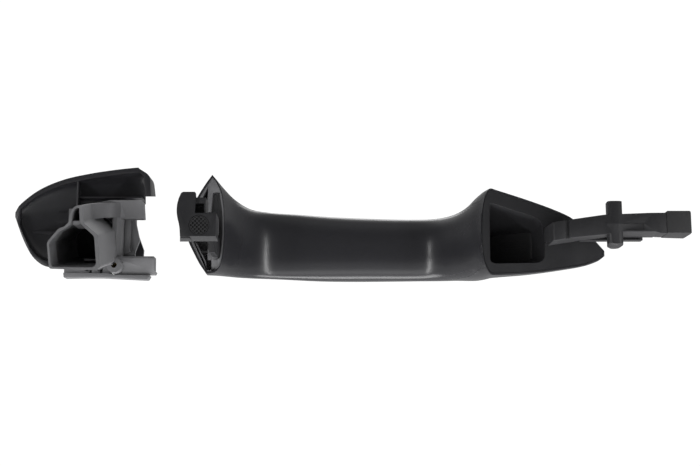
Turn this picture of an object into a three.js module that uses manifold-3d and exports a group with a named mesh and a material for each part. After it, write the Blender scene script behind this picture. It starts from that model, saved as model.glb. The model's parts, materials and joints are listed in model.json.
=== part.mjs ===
// Strap-type car door handle with its separate end cap.
//
// Units are millimetres. +X runs along the strap to its hinge arm, +Y points away from the car, +Z is up.
// The origin is the middle of the hinge pin. All shapes below are drawn with y = 0 on the door skin, which
// the feet of the strap rest on, and the whole model is then moved out by DOOR_TO_PIN.
//
// Three bodies: the hinge pin, which the car's bracket holds; the pull handle, which swings on it; and the
// end cap, which slides along X up to the nose of the handle and is drawn here before it is pushed home.

import * as THREE from 'three';
import { mergeVertices } from 'three/addons/utils/BufferGeometryUtils.js';
import Module from 'manifold-3d';

const wasm = await Module();
wasm.setup();

// ---------------------------------------------------------------- driving dimensions

const DOOR_TO_PIN = 18; // the door skin lies this far outside the pin's axis
const GAP = 0.3; // air between neighbouring pieces
const WALL = 2.3; // wall of the strap's shells
const LIP = 0.9; // and of their lips round the two feet
const SEAT_DEPTH = 3.2; // how far in from the door the lips reach
const CAP_WALL = 2.3; // wall of the end cap's bowl
const THROUGH = 60; // half length of a cutter that passes right through

const NOSE_X = -188.5; // rearmost point of the strap
const TIP_X = -0.6; // front end of the strap's front foot
const REAR_EDGE_X = -171.3; // where the strap's inner side leaves the door at the rear
const FRONT_EDGE_X = -55.6; // and where it comes back to it at the front

const HEAD_TO_SHANK = 1.8;
const FRONT_SCREW = [[-14.4, -0.4], 0.5, 1.3, 6.5, 1];
const REAR_SCREW = [[-182.4, 2.6], 1, 1.3, 7.5, 1];
const ARM_SCREW = [[-10, -3], -10.2, 1.1, 8, -1];
const CLAW_PIN = { radius: 1, x: -176.1, y: 3.4, low: -11.6, high: 3.6 };

const PIN_RADIUS = 1.6;
const PIN_BORE = 1.95;
const BORE_BOTTOM = -9.6; // the pin's bore is open at the top only
const BOSS_TOP = 8.6;
const BOSS_TIP = -11.4;

const ARM_FACE = -24; // door-side face of the hinge arm
const ARM_BACK = -13;
const ARM_ROOT_X = -27.5;
const ARM_END_X = 32;
const SLEEVE_X = 21.8;

const CLAW_FACE = -50; // door-side face of the claw's head
const CLAW_BACK = -41;

const TOWER_FACE = -40; // mouth of the end cap's tower
const TOWER_LEAN = 0.235; // how far the tower climbs for each millimetre that it goes in
const TAB_FACE = -7; // door-side face of the two tabs
const BOSS_HOLE = [-218.4, -17.3];
const BOSS_TUBE_RADIUS = 3.3;

// The strap: where its outer and inner sides lie, and its top and bottom edges, along X.
const strapOuter = guide([[-192, 11.5], [-180, 18.5], [-165, 28.5], [-150, 36.5], [-133, 42], [-113, 44.3],
  [-95, 43.4], [-80, 40.6], [-65, 35.6], [-50, 29], [-33, 21.4], [-18, 14.8], [-7, 9.4], [-2, 5.8],
  [TIP_X, 3.2]]);
const strapInner = guide([[-192, -13], [-182, -14], [-176, -12], [-173.2, -5.5], [REAR_EDGE_X, 0], [-168, 8.5],
  [-163, 16.5], [-157, 22.6], [-150, 26.2], [-140, 28.2], [-115, 29.4], [-92, 28.8], [-80, 26.6],
  [-72.5, 22], [-66, 14.5], [-60, 6], [FRONT_EDGE_X, 0], [-53, -8], [-50, -21], [-33, -19], [-18, -12.4],
  [-7, -7.6], [-2, -4], [TIP_X, -1.8]]);
const strapTop = guide([[-192, 33], [-180, 28.6], [-176.7, 25.2], [-173, 21.2], [-168.5, 17.4], [-162, 14.4],
  [-154, 13.8], [-140, 13.6], [-125, 12.8], [-105, 12], [-85, 11.2], [-72, 10.9], [-65, 11.8], [-60, 14.2],
  [-56, 17.9], [-52.5, 19.7], [-48, 18.4], [-32, 13], [-20, 8.3], [-14, 5], [-7.5, -1.6], [-3, -6.6],
  [TIP_X, -9.4]]);
const strapBottom = guide([[-192, -19.6], [-178, -19.8], [-168, -18.9], [-150, -18], [-126, -18.4],
  [-83, -18.5], [-66, -19.4], [-56, -20.5], [-45, -20.3], [-33, -19.5], [-18.5, -17.6], [-9.5, -16],
  [-3.5, -13.9], [TIP_X, -11.8]]);
const STRAP_STATIONS = [-190, -186, -182, -178.5, -176.7, -175, -173.2, -171.3, -169.5, -167, -164, -160,
  -156, -151, -145, -137, -127, -115, -103, -92, -83, -77, -72.5, -68, -64, -60.5, -57.5, -55.6, -54, -52.5,
  -50, -45, -38, -30, -22, -16, -11, -6.5, -3];
const SECTION_POINTS = 28;
const CURVE_SEGMENTS = 3; // straight pieces in each rounded corner
const STRAP_SQUARENESS = 2.5;

// The nose of the strap, from its peak to its lower corner; the end cap's edge follows it.
const NOSE = [[-176.6, 26.5], [-180, 21.6], [-183.6, 15.6], [-186.6, 9.6], [-188.2, 4], [NOSE_X, -0.5],
  [-187.3, -5.2], [-185.2, -9.6], [-182.2, -15.2], [-179.6, -19], [-178, -21.5]];

// The joint between the strap's two shells, as [x, y]: low at both feet, mid-thickness along the strap.
const parting = guide([[-200, -30], [-180, -9], [-175.4, 0], [-171, 9.5], [-165, 18.5], [-156, 27], [-142, 33.5],
  [-113, 37], [-90, 35.6], [-76, 30.8], [-66, 22], [-59, 11.5], [-53.6, 0], [-50, -10], [10, -60]]);

// ---------------------------------------------------------------- making and cutting solids

/** Smooth curve through [position, value] points, flat beyond its ends. */
function guide(points) {
  const last = points.length - 1;
  const slopes = points.map((point, i) => {
    const before = points[Math.max(i - 1, 0)];
    const after = points[Math.min(i + 1, last)];
    return (after[1] - before[1]) / (after[0] - before[0]);
  });
  return (at) => {
    const x = THREE.MathUtils.clamp(at, points[0][0], points[last][0]);
    const i = Math.max(points.findIndex((point) => point[0] >= x) - 1, 0);
    const [x0, v0] = points[i];
    const [x1, v1] = points[i + 1];
    const span = x1 - x0;
    const t = (x - x0) / span;
    const rise = t * t * (3 - 2 * t);
    const ease = t * (1 - t);
    return v0 + (v1 - v0) * rise + span * ease * (slopes[i] * (1 - t) - slopes[i + 1] * t);
  };
}

/** A closed three.js geometry as a solid that can be joined and cut, turned to face outwards. */
function solid(geometry) {
  const bare = geometry.clone();
  bare.deleteAttribute('normal');
  bare.deleteAttribute('uv');
  const merged = mergeVertices(bare, 1e-4);
  const vertProperties = new Float32Array(merged.attributes.position.array);
  const triVerts = new Uint32Array(merged.index.array);
  if (signedVolume(vertProperties, triVerts) < 0) triVerts.reverse();
  return new wasm.Manifold(new wasm.Mesh({ numProp: 3, vertProperties, triVerts }));
}

/** Six times the volume inside a mesh: negative where its faces point inwards. */
function signedVolume(positions, triangles) {
  const corner = (i) => new THREE.Vector3().fromArray(positions, triangles[i] * 3);
  let sum = 0;
  for (let i = 0; i < triangles.length; i += 3) {
    sum += corner(i).dot(corner(i + 1).cross(corner(i + 2)));
  }
  return sum;
}

/** A solid as a three.js geometry. */
function geometryOf(body) {
  const mesh = body.getMesh();
  const geometry = new THREE.BufferGeometry();
  geometry.setAttribute('position', new THREE.BufferAttribute(new Float32Array(mesh.vertProperties), 3));
  geometry.setIndex(new THREE.BufferAttribute(new Uint32Array(mesh.triVerts), 1));
  return geometry;
}

/** A closed outline of [u, v, radius] corners, as a shape with rounded corners. */
function outline(corners) {
  const shape = new THREE.Shape();
  corners.forEach(([u, v, radius = 0], i) => {
    const corner = new THREE.Vector2(u, v);
    const previous = new THREE.Vector2(...corners.at(i - 1).slice(0, 2));
    const next = new THREE.Vector2(...corners[(i + 1) % corners.length].slice(0, 2));
    const from = corner.clone().add(previous.sub(corner).setLength(radius || 1e-9));
    const to = corner.clone().add(next.sub(corner).setLength(radius || 1e-9));
    if (i === 0) shape.moveTo(radius ? from.x : u, radius ? from.y : v);
    else shape.lineTo(radius ? from.x : u, radius ? from.y : v);
    if (radius) shape.quadraticCurveTo(u, v, to.x, to.y);
  });
  shape.closePath();
  return shape;
}

/** A prism with an X-Z outline, between two depths y. */
function acrossGeometry(corners, yFrom, yTo) {
  const settings = { depth: yTo - yFrom, bevelEnabled: false, curveSegments: CURVE_SEGMENTS };
  return new THREE.ExtrudeGeometry(outline(corners), settings).rotateX(Math.PI / 2).translate(0, yTo, 0);
}

/** A solid with an X-Z outline, between two depths y. */
function across(corners, yFrom, yTo) {
  return solid(acrossGeometry(corners, yFrom, yTo));
}

/** The same, leaning up as it goes in from the tower's mouth. */
function leaning(corners, yFrom, yTo) {
  const lean = new THREE.Matrix4().set(
    1, 0, 0, 0,
    0, 1, 0, 0,
    0, TOWER_LEAN, 1, -TOWER_LEAN * TOWER_FACE,
    0, 0, 0, 1,
  );
  return solid(acrossGeometry(corners, yFrom, yTo).applyMatrix4(lean));
}

/** A solid with an X-Y outline, between two heights z. */
function upright(corners, zFrom, zTo) {
  const settings = { depth: zTo - zFrom, bevelEnabled: false, curveSegments: CURVE_SEGMENTS };
  return solid(new THREE.ExtrudeGeometry(outline(corners), settings).translate(0, 0, zFrom));
}

/** A solid with a Y-Z outline, between two stations x. */
function overEnds(corners, xFrom, xTo) {
  const settings = { depth: xTo - xFrom, bevelEnabled: false };
  const shape = outline(corners.map(([y, z]) => [-z, y]));
  return solid(new THREE.ExtrudeGeometry(shape, settings).rotateY(Math.PI / 2).translate(xFrom, 0, 0));
}

/** A box between two opposite corners. */
function block([x0, y0, z0], [x1, y1, z1]) {
  const box = new THREE.BoxGeometry(x1 - x0, y1 - y0, z1 - z0);
  return solid(box.translate((x0 + x1) / 2, (y0 + y1) / 2, (z0 + z1) / 2));
}

/** A turned solid about an axis along Y at [x, z], from [radius, y] points. */
function turnedAlongY(profile, [x, z], sides = 16) {
  const points = profile.map(([radius, y]) => new THREE.Vector2(radius, y));
  return solid(new THREE.LatheGeometry(points, sides).translate(x, 0, z));
}

/** A turned solid about the hinge pin's axis, from [radius, z] points. */
function turnedOnPin(profile, sides = 20) {
  const points = profile.map(([radius, z]) => new THREE.Vector2(radius, z));
  return solid(new THREE.LatheGeometry(points, sides).rotateX(Math.PI / 2).translate(0, -DOOR_TO_PIN, 0));
}

/** A closed skin over rings of points, with a flat end on the first and the last ring. */
function loft(rings) {
  const count = rings[0].length;
  const positions = rings.flat().flatMap((point) => point.toArray());
  const middles = [rings[0], rings.at(-1)].map((ring) => {
    const middle = ring.reduce((sum, point) => sum.add(point), new THREE.Vector3()).divideScalar(count);
    positions.push(...middle.toArray());
    return positions.length / 3 - 1;
  });
  const index = [];
  for (let k = 0; k < count; k += 1) {
    const next = (k + 1) % count;
    for (let i = 0; i < rings.length - 1; i += 1) {
      const a = i * count;
      const b = a + count;
      index.push(a + k, b + k, b + next, a + k, b + next, a + next);
    }
    const end = (rings.length - 1) * count;
    index.push(middles[0], k, next, middles[1], end + next, end + k);
  }
  const geometry = new THREE.BufferGeometry();
  geometry.setAttribute('position', new THREE.Float32BufferAttribute(positions, 3));
  geometry.setIndex(index);
  return solid(geometry);
}

/** One soft-cornered section of a lofted shell at x, between two depths and two heights. */
function section(x, yIn, yOut, zLow, zHigh, squareness) {
  const power = 2 / squareness;
  return Array.from({ length: SECTION_POINTS }, (_, k) => {
    const angle = (2 * Math.PI * (k + 0.5)) / SECTION_POINTS;
    const c = Math.cos(angle);
    const s = Math.sin(angle);
    const y = (yIn + yOut) / 2 + ((yOut - yIn) / 2) * Math.sign(c) * Math.abs(c) ** power;
    const z = (zLow + zHigh) / 2 + ((zHigh - zLow) / 2) * Math.sign(s) * Math.abs(s) ** power;
    return new THREE.Vector3(x, y, z);
  });
}

const nothingBelow = (y) => block([-400, -200, -200], [200, y, 200]);

// ---------------------------------------------------------------- the strap and its feet

/** The strap's full form, drawn in by an inset from its surface. */
function strapForm(inset) {
  const end = TIP_X - inset;
  const stations = [...STRAP_STATIONS.filter((x) => x < end - GAP), end];
  const rings = stations.map((x) => section(x, strapInner(x) + inset, strapOuter(x) - inset,
    strapBottom(x) + inset, strapTop(x) - inset, STRAP_SQUARENESS));
  const behindNose = across([...NOSE.map(([x, z]) => [x + inset, z]), [20, -60], [20, 60], [-150, 60]],
    -THROUGH, THROUGH);
  return loft(rings).intersect(behindNose).subtract(nothingBelow(0));
}

/** The same, carried on past the door skin, so that it cuts the feet open. */
function strapOpening(inset) {
  return strapForm(inset).add(strapForm(inset).translate([0, -0.6, 0]));
}

const seat = block([-200, -THROUGH, -THROUGH], [10, SEAT_DEPTH, THROUGH]);
const strap = strapForm(0);
const strapHollow = strapOpening(WALL).add(strapOpening(LIP).intersect(seat));
const strapFill = strapForm(WALL + GAP);
const footFace = strapForm(LIP + GAP).intersect(seat.translate([0, -GAP, 0]));
const strapShell = strap.subtract(strapHollow);

/** The half of the strap's shell on one side of the joint between the shells. */
function shellHalf(side) {
  const xs = [-200, -180, -175.4, -171, -165, -156, -142, -113, -90, -76, -66, -59, -53.6, -50, 10];
  const edge = xs.map((x) => [x, parting(x) + side * (GAP / 2)]);
  const region = upright([...edge, [10, side * 120], [-200, side * 120]], -THROUGH, THROUGH);
  return strapShell.intersect(region);
}

/** Beam inside the strap that carries the pull from the claw's foot to the hinge arm's foot. */
function gripCore() {
  const xs = [-152, -142, -128, -113, -98, -86, -78];
  const outer = xs.map((x) => [x, strapOuter(x) - 5.2]);
  const inner = xs.map((x) => [x, strapInner(x) + 4.4]).reverse();
  const beam = upright([...outer, ...inner], -11.5, 5.2);
  const pockets = [-141, -127, -113, -99].map((x) => block([x, 0, -8.5], [x + 11, 36.6, 2.2]));
  return pockets.reduce((rest, pocket) => rest.subtract(pocket), beam).intersect(strapFill);
}

const POCKET_MOUTH = [[-51.9, 13.3], [-30.4, 6.2], [-28, 3.4], [-27.1, -13.2], [-29.6, -15], [-50.6, -15.3],
  [-52, -13.8]];
const POCKET_FLOOR = [[-49.4, 1.2], [-32, 1.6], [-31, 0.8], [-31, -10.8], [-31.8, -11.6], [-48.6, -12.2],
  [-49.4, -11.4]];

/** The pocket's space, or with a grow the block of material around it. */
function pocketForm(grow, extraDepth) {
  const middle = [-40, -2];
  const spread = ([x, z]) => [x + Math.sign(x - middle[0]) * grow, z + Math.sign(z - middle[1]) * grow];
  const floorDepth = (x) => strapOuter(x) - 6.4 + extraDepth;
  const mouth = POCKET_MOUTH.map(spread).map(([x, z]) => new THREE.Vector3(x, extraDepth ? 0.9 : -1, z));
  const floor = POCKET_FLOOR.map(spread).map(([x, z]) => new THREE.Vector3(x, floorDepth(x), z));
  return loft([mouth, floor]);
}

/** The arm's root, or with a grow its socket: it rises as it goes into the foot. */
function armRoot(grow, near, far) {
  const ring = (y) => {
    const rise = (y - ARM_FACE) / -ARM_FACE;
    const left = ARM_ROOT_X - grow;
    const right = ARM_ROOT_X + 9.7 + grow;
    const low = -8.7 + 2.9 * rise - grow;
    const high = -0.8 + 1.6 * rise + grow;
    return [[left, low], [right, low + 1.3], [right, high + 1.2], [left, high]]
      .map(([x, z]) => new THREE.Vector3(x, y, z));
  };
  return loft([ring(near), ring(far)]);
}

/** Insert that fills the front foot: its face, the open pocket and the socket for the arm. */
function frontFootPlate() {
  const face = footFace.intersect(block([-60, 0, -40], [10, SEAT_DEPTH, 40]));
  const pocketBlock = pocketForm(1.8, 1.8).intersect(strapFill);
  const armBlock = across([[-29, -11], [-12, -11], [-12, 2], [-29, 2]], 1, 9.5).intersect(strapFill);
  const screwBoss = turnedAlongY([[0, 1], [3.4, 1], [3.4, 8.4], [0, 8.4]], FRONT_SCREW[0]).intersect(strapFill);
  return face.add(pocketBlock).add(armBlock).add(screwBoss).subtract(pocketForm(0, 0))
    .subtract(armRoot(GAP, -1, 6.3)).subtract(screwHole(...FRONT_SCREW));
}

/** A pan-head screw along Y from the outer side of its head: toward +1 for a shank away from the door. */
function screw(place, headY, shankRadius, length, toward) {
  const at = (depth) => headY + toward * depth;
  const head = shankRadius * HEAD_TO_SHANK;
  const recess = turnedAlongY([[0, at(-0.1)], [head / 2, at(-0.1)], [head / 2, at(0.8)], [0, at(0.8)]], place, 6);
  return turnedAlongY([[0, at(0)], [head * 0.8, at(0)], [head, at(0.4)], [head, at(1.2)],
    [shankRadius, at(1.3)], [shankRadius, at(length - 0.6)], [shankRadius * 0.4, at(length)],
    [0, at(length)]], place).subtract(recess);
}

/** The hole that a screw's shank and head need, with the gap all round. */
function screwHole(place, headY, shankRadius, length, toward) {
  const at = (depth) => headY + toward * depth;
  const head = shankRadius * HEAD_TO_SHANK + GAP;
  const shank = shankRadius + GAP;
  return turnedAlongY([[0, at(-1)], [head, at(-1)], [head, at(1.6)], [shank, at(1.6)],
    [shank, at(length + GAP)], [0, at(length + GAP)]], place);
}

/** The hinge arm: a bar that stands off the door side of the front foot, with its root and cross boss. */
function hingeArm() {
  const front = across([[ARM_ROOT_X, -0.8], [-22, 0.1], [-5, 2.6], [15.3, 3.4], [21.4, 3.4], [21.4, 2.6, 0.4],
    [30.4, 2.6, 0.8], [30.4, -4.4, 0.8], [21.4, -4.4, 0.4], [21.4, -5.5], [18.6, -5.4], [16.4, -4.7],
    [2.1, -4.7], [-5.3, -6], [-20.7, -7.5], [ARM_ROOT_X, -8.7]], -THROUGH, THROUGH);
  const side = upright([[ARM_ROOT_X, ARM_FACE, 1.2], [21.4, ARM_FACE], [21.4, ARM_FACE + 1.6],
    [30.4, ARM_FACE + 1.6], [30.4, ARM_BACK - 1.6], [21.4, ARM_BACK - 1.6], [21.4, ARM_BACK], [-14, ARM_BACK, 1.6],
    [-17.8, ARM_BACK + 3], [ARM_ROOT_X, ARM_BACK + 3]], -THROUGH, THROUGH);
  const boss = upright([[-3.6, ARM_FACE - 0.15, 2.2], [2.7, ARM_FACE - 0.15, 2.2], [3.3, -18, 1.5],
    [2.4, -14.4, 1.5], [-2.4, -14.4, 1.5], [-3.3, -18, 1.5]], BOSS_TIP, BOSS_TOP);
  const taper = turnedOnPin([[0, BOSS_TIP], [1.9, BOSS_TIP], [2.5, -10.9], [5.6, -8.8], [9, -8], [9, BOSS_TOP],
    [0, BOSS_TOP]]);
  const keel = overEnds([[ARM_FACE + 0.3, -4], [ARM_FACE + 0.3, -4.75], [ARM_BACK - 0.2, -5.6],
    [ARM_BACK - 0.2, -4]], 2.2, 16.6);
  const bore = turnedOnPin([[0, BORE_BOTTOM], [PIN_BORE, BORE_BOTTOM], [PIN_BORE, BOSS_TOP + 1],
    [0, BOSS_TOP + 1]]);
  const groove = block([-22.1, ARM_FACE - 1, -20], [-20.5, ARM_FACE + 0.7, 20]);
  const weight = block([-2.5, ARM_BACK - 3.2, -2.6], [16, ARM_BACK + 1, 1.4]);
  return front.intersect(side).add(armRoot(0, ARM_FACE + 1, 6)).add(keel).subtract(groove)
    .add(boss.intersect(taper)).subtract(bore).subtract(weight).subtract(screwHole(...ARM_SCREW));
}

/** Bent strip that keeps the arm from rattling in its bracket. */
function armLeafSpring() {
  const y = ARM_BACK + GAP;
  const foot = across([[-13.4, -6.6], [-6.6, -6.6], [-6.6, 0.4, 1], [-13.4, -0.6, 1]], y, y + 0.9);
  const tongue = block([-13.4, y, -6.8], [13.6, y + 4.2, -6]);
  const back = block([-13.4, y + 3.4, -6.6], [12.6, y + 4.2, -3.4]);
  const hole = turnedAlongY([[0, y - 1], [1.4, y - 1], [1.4, y + 2], [0, y + 2]], ARM_SCREW[0]);
  return foot.add(tongue).add(back).subtract(hole);
}

/** Rubber sleeve over the end of the arm. */
function armEndBuffer() {
  const outer = across([[SLEEVE_X, 4.2, 0.5], [ARM_END_X, 4.2, 0.8], [ARM_END_X, -6, 0.8], [SLEEVE_X, -5.7, 0.5]],
    ARM_FACE - 0.2, ARM_BACK + 0.2);
  const slope = overEnds([[ARM_FACE - 1, -5.2], [ARM_FACE - 1, -8], [ARM_BACK + 1, -8]], SLEEVE_X - 1,
    ARM_END_X + 1);
  const cavity = block([SLEEVE_X - 1, ARM_FACE + 1.3, -4.7], [30.7, ARM_BACK - 1.3, 2.9]);
  return outer.subtract(slope).subtract(cavity);
}

const CLAW_HEAD = [[-183.7, 7.1, 1], [-185.2, 3.6, 1.6], [-185.8, -1.4, 2.8], [-184.2, -7.4, 2.2],
  [-183.9, -12.2, 0.5], [-169.4, -12.2, 0.4], [-169.4, -1.7, 0.4], [-178, -1.7], [-178, 7.1, 0.5]];
const NECK_X = [-178.2, -174.2];
const NECK_Z = [-6.4, -2.1];
const NECK_DEPTH = 5.4;
const PAD = [-176.3, -6.7];
const PAD_RADIUS = 4.1;

/** The claw: a neck that passes into the car and a cross head behind which the lock's lever hooks. */
function clawHook() {
  const [left, right] = NECK_X;
  const head = across(CLAW_HEAD, CLAW_FACE, CLAW_BACK);
  const thinning = overEnds([[CLAW_FACE + 2.6, 9], [CLAW_FACE + 2.6, 6], [CLAW_BACK + 0.5, 2.6],
    [CLAW_BACK + 0.5, 9]], -190, -177.9);
  const bar = block([left, CLAW_FACE + 1.2, -6], [-173.9, CLAW_BACK + 1, 4.9]);
  const neck = block([left, CLAW_BACK - 3, NECK_Z[0]], [right, NECK_DEPTH, NECK_Z[1]]);
  const window = block([-178.1, CLAW_FACE - 1, -1.5], [-174.5, CLAW_FACE + 6, 2.6]);
  const flare = upright([[-176.5, -12], [right, -12], [-174, -2], [-173.4, -0.6], [-173.4, 0.6], [-176.5, 0.6]],
    -11.9, -4);
  const root = block([left, -2.5, -9], [right, 0.6, 5]);
  const padSeat = turnedAlongY([[0, CLAW_FACE - 1], [PAD_RADIUS + GAP, CLAW_FACE - 1],
    [PAD_RADIUS + GAP, CLAW_FACE + 1], [0, CLAW_FACE + 1]], PAD, 24);
  return head.subtract(thinning).add(bar).add(neck).add(flare).add(root).subtract(window).subtract(padSeat)
    .subtract(clawPin(GAP));
}

/** Dowel that holds the claw's neck in the rear foot, or the hole for it. */
function clawPin(clearance) {
  const radius = CLAW_PIN.radius + clearance;
  const low = CLAW_PIN.low - clearance;
  const high = CLAW_PIN.high + clearance;
  const profile = [[0, low], [radius - 0.3, low], [radius, low + 0.3], [radius, high - 0.3],
    [radius - 0.3, high], [0, high]];
  const points = profile.map(([r, z]) => new THREE.Vector2(r, z));
  return solid(new THREE.LatheGeometry(points, 16).rotateX(Math.PI / 2).translate(CLAW_PIN.x, CLAW_PIN.y, 0));
}

/** Round grip pad, let into the face of the claw. */
function clawBuffer() {
  return turnedAlongY([[0, CLAW_FACE + 0.05], [PAD_RADIUS - 0.3, CLAW_FACE + 0.05],
    [PAD_RADIUS, CLAW_FACE + 0.25], [PAD_RADIUS, CLAW_FACE + 0.7], [0, CLAW_FACE + 0.7]], PAD, 24);
}

const REAR_FACE_DEPTH = 0.25;
const REAR_BACK_DEPTH = 10.5;
const SLOT_DEPTH = 8.6;

/** Insert in the rear foot: its face, the channel round the claw's neck and the openings beside it. */
function rearFootPlate() {
  const face = footFace.intersect(block([-195, REAR_FACE_DEPTH, -40], [-171, SEAT_DEPTH, 40]));
  const body = strapFill.intersect(block([-195, 1.5, -40], [-171, REAR_BACK_DEPTH, 40]));
  const upper = across([[-179, 20.4], [-180.4, 17.4], [-185.2, 8], [-179.3, 8.2]], -1, SLOT_DEPTH);
  const lower = across([[-185.6, -4.2], [-178.7, -4.2], [-178.7, -18.2], [-179.2, -18.2]], -1, SLOT_DEPTH);
  const channel = across([[-176.9, 17.6], [-173.9, 17.8], [-172.3, 8.4], [-172.1, -3], [-173, -12.2],
    [-174.2, -13.3], [-178.7, -13.3], [-178.7, 8.4], [-177.7, 8.6]], -1, NECK_DEPTH + GAP);
  const pinSeat = block([-178.7, 1, -13.3], [-174, NECK_DEPTH + GAP, 5.4]);
  const neckHole = block([NECK_X[0] - GAP, 0, NECK_Z[0] - GAP], [NECK_X[1] + GAP, NECK_DEPTH + GAP, NECK_Z[1] + GAP]);
  return face.add(body).subtract(channel).subtract(upper).subtract(lower).add(pinSeat).subtract(neckHole)
    .subtract(screwHole(...REAR_SCREW)).subtract(clawPin(GAP));
}

// ---------------------------------------------------------------- the end cap

const capOuter = guide([[-268, 3], [-262, 5.6], [-250, 9.4], [-235, 12.6], [-218, 14.8], [-200, 16]]);
const capTop = guide([[-265.8, 8.2], [-264, 11.6], [-255.5, 18.5], [-244.7, 23.3], [-232.8, 26.1],
  [-222, 27.8], [-212, 28.9], [-200, 29.6]]);
const capBottom = guide([[-265.8, 6.2], [-262, -3.4], [-257.8, -11.1], [-253.4, -15.3], [-249.6, -16.6],
  [-240, -17.6], [-222, -19.2], [-200, -20.6]]);
const CAP_TIP_X = -265.8;
const CAP_STATIONS = [-264.6, -262, -258.5, -255.5, -252, -248, -242, -234, -224, -214, -205, -198];
const CAP_SQUARENESS = 2.6;
// The cap's edge that faces the strap: a corner at the top, then a hollow curve down the nose's side.
const CAP_CORNER = [[-211.6, 40], [-211.3, 29, 1.4], [-205.6, 25.4, 2], [-204.7, 15.1]];
const CAP_EDGE = [[-209.6, 15.1], [-212.4, 11.4], [-213.5, 7.4], [-212.9, 2], [-211, -3.4], [-208.4, -9.6],
  [-205.2, -15], [-202.4, -19.4], [-201.6, -40]];

/** The cap's bowl form, drawn in by an inset from its surface. */
function capForm(inset) {
  const end = CAP_TIP_X + inset;
  const stations = [end, ...CAP_STATIONS.filter((x) => x > end + GAP)];
  const rings = stations.map((x) => section(x, 1.5 - capOuter(x), capOuter(x) - inset, capBottom(x) + inset,
    capTop(x) - inset, CAP_SQUARENESS));
  return loft(rings).subtract(nothingBelow(0));
}

/** The painted bowl of the end cap with its moulded ribs. */
function capCover() {
  const outer = across([...CAP_CORNER, ...CAP_EDGE, [-300, -40], [-300, 40]], -THROUGH, THROUGH);
  const insideCorner = (wall) => across([...CAP_CORNER.map(([x, z]) => [x - wall, z]), [-208.6, 14.6],
    [-208.6, 11.3], [-150, 11.3], [-150, -40], [-300, -40], [-300, 40]], -THROUGH, THROUGH);
  const hollow = capForm(CAP_WALL).add(capForm(CAP_WALL).translate([0, -0.6, 0])).intersect(insideCorner(2.6));
  const room = capForm(CAP_WALL - 0.4).intersect(insideCorner(2.2));
  const ribs = block([-238.7, 1.4, 11], [-238, 20, 28]).add(block([-238.5, 3.4, 15.5], [-209, 20, 16.2]))
    .add(block([-263, 4.4, -0.35], [-243.6, 20, 0.35]));
  const underCorner = overEnds([[-1, 15.4], [40, 23.6], [40, -40], [-1, -40]], -209.6, -150);
  return capForm(0).subtract(hollow).add(ribs.intersect(room)).intersect(outer).subtract(underCorner);
}

const TOWER = [[-239.2, -23.3, 1.2], [-240.6, -12.2, 1.2], [-236, -6.4, 1], [-233.6, -5.6], [-231.8, -3.6, 1],
  [-231.3, 0.6, 1.6], [-229.6, 3.2, 1.4], [-226.6, 3.6], [-225.8, -3.9, 1.2], [-219.5, -9, 1],
  [-218.1, -22.6, 0.6], [-219.4, -23.9, 0.8]];
const TOWER_BORE = [[-238.2, -22.4, 1.2], [-239.5, -12.6, 1], [-235.4, -7.5, 0.8], [-233.2, -6.5],
  [-230.7, -4.4, 0.8], [-230.2, 0.6, 1.2], [-229.2, 2.2], [-227.9, 2.2], [-227.4, -4.2, 1], [-221.2, -9.8, 1],
  [-220, -21.4, 0.6], [-221, -22.6, 0.6]];
const CARRIER_BACK = 7.2;
const TAB_BACK = -0.9;

/** The lock carrier: leaning tower, back plate, two tabs and a screw boss in one moulding. */
function lockCarrier() {
  const tower = leaning(TOWER, TOWER_FACE, CARRIER_BACK);
  const backPlate = across([[-243, 11], [-243, -12], [-240, -15.5], [-212.2, -16.5], [-212.2, 11]], 5.6,
    CARRIER_BACK);
  const upperTab = across([[-226, 5.4], [-224, 4.6], [-206.6, 4.4, 0.5], [-207.3, 12.4, 0.6], [-222, 12.4],
    [-226, 11.6]], TAB_FACE, TAB_BACK);
  const lowerTab = across([[-219, -12.8], [-201.5, -12.8, 0.4], [-201.4, -19], [-200.7, -19.6], [-201.2, -20.7],
    [-219, -20.7]], TAB_FACE, TAB_BACK);
  const upperWeb = across([[-226, 6.6], [-214.6, 6.6], [-214.6, 11.6], [-226, 11.6]], -2, CARRIER_BACK);
  const lowerWeb = across([[-219, -14], [-212.4, -14], [-212.4, -17], [-219, -17]], -2, CARRIER_BACK);
  const sideWeb = block([-220.5, -3.2, -15.2], [-216.2, TAB_BACK, 7]);
  const bossTube = turnedAlongY([[0, -10.4], [BOSS_TUBE_RADIUS, -10.4], [BOSS_TUBE_RADIUS, -1], [0, -1]],
    BOSS_HOLE, 20);
  const insertBore = turnedAlongY([[0, -12], [2.25, -12], [2.25, -2.3], [0, -2.3]], BOSS_HOLE, 20);
  return tower.add(backPlate).add(upperTab).add(lowerTab).add(upperWeb).add(lowerWeb).add(sideWeb)
    .add(bossTube).subtract(leaning(TOWER_BORE, TOWER_FACE - 1, 20)).subtract(insertBore).intersect(capRoom());
}

/** The room that the carrier may fill: anything on the door side, and inside the bowl with a gap. */
function capRoom() {
  const inBowl = capForm(CAP_WALL + GAP);
  const doorSide = block([-300, -THROUGH, -40], [-150, -0.35, 40]);
  const join = capForm(CAP_WALL + GAP).translate([0, -0.6, 0]);
  return inBowl.add(join).add(doorSide);
}

/** Snap clip between the tabs, with the slot that springs over the door bracket's barb. */
function capClip() {
  const plate = across([[-217.6, 6, 0.4], [-211.9, 6, 0.4], [-209.4, -4.4], [-211.2, -9.4], [-211.4, -11, 0.4],
    [-217.6, -11, 0.4]], 1, 2.6);
  const slot = across([[-213.6, 4.6], [-213, 4.6], [-213, -5.2], [-212.4, -7.6], [-212.8, -9.8],
    [-213.7, -9.8], [-214.2, -7.6], [-213.6, -5.2]], 0, 4);
  const foot = block([-217.6, 2, -8], [-216.2, 5.2, 3]);
  return plate.subtract(slot).add(foot);
}

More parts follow.
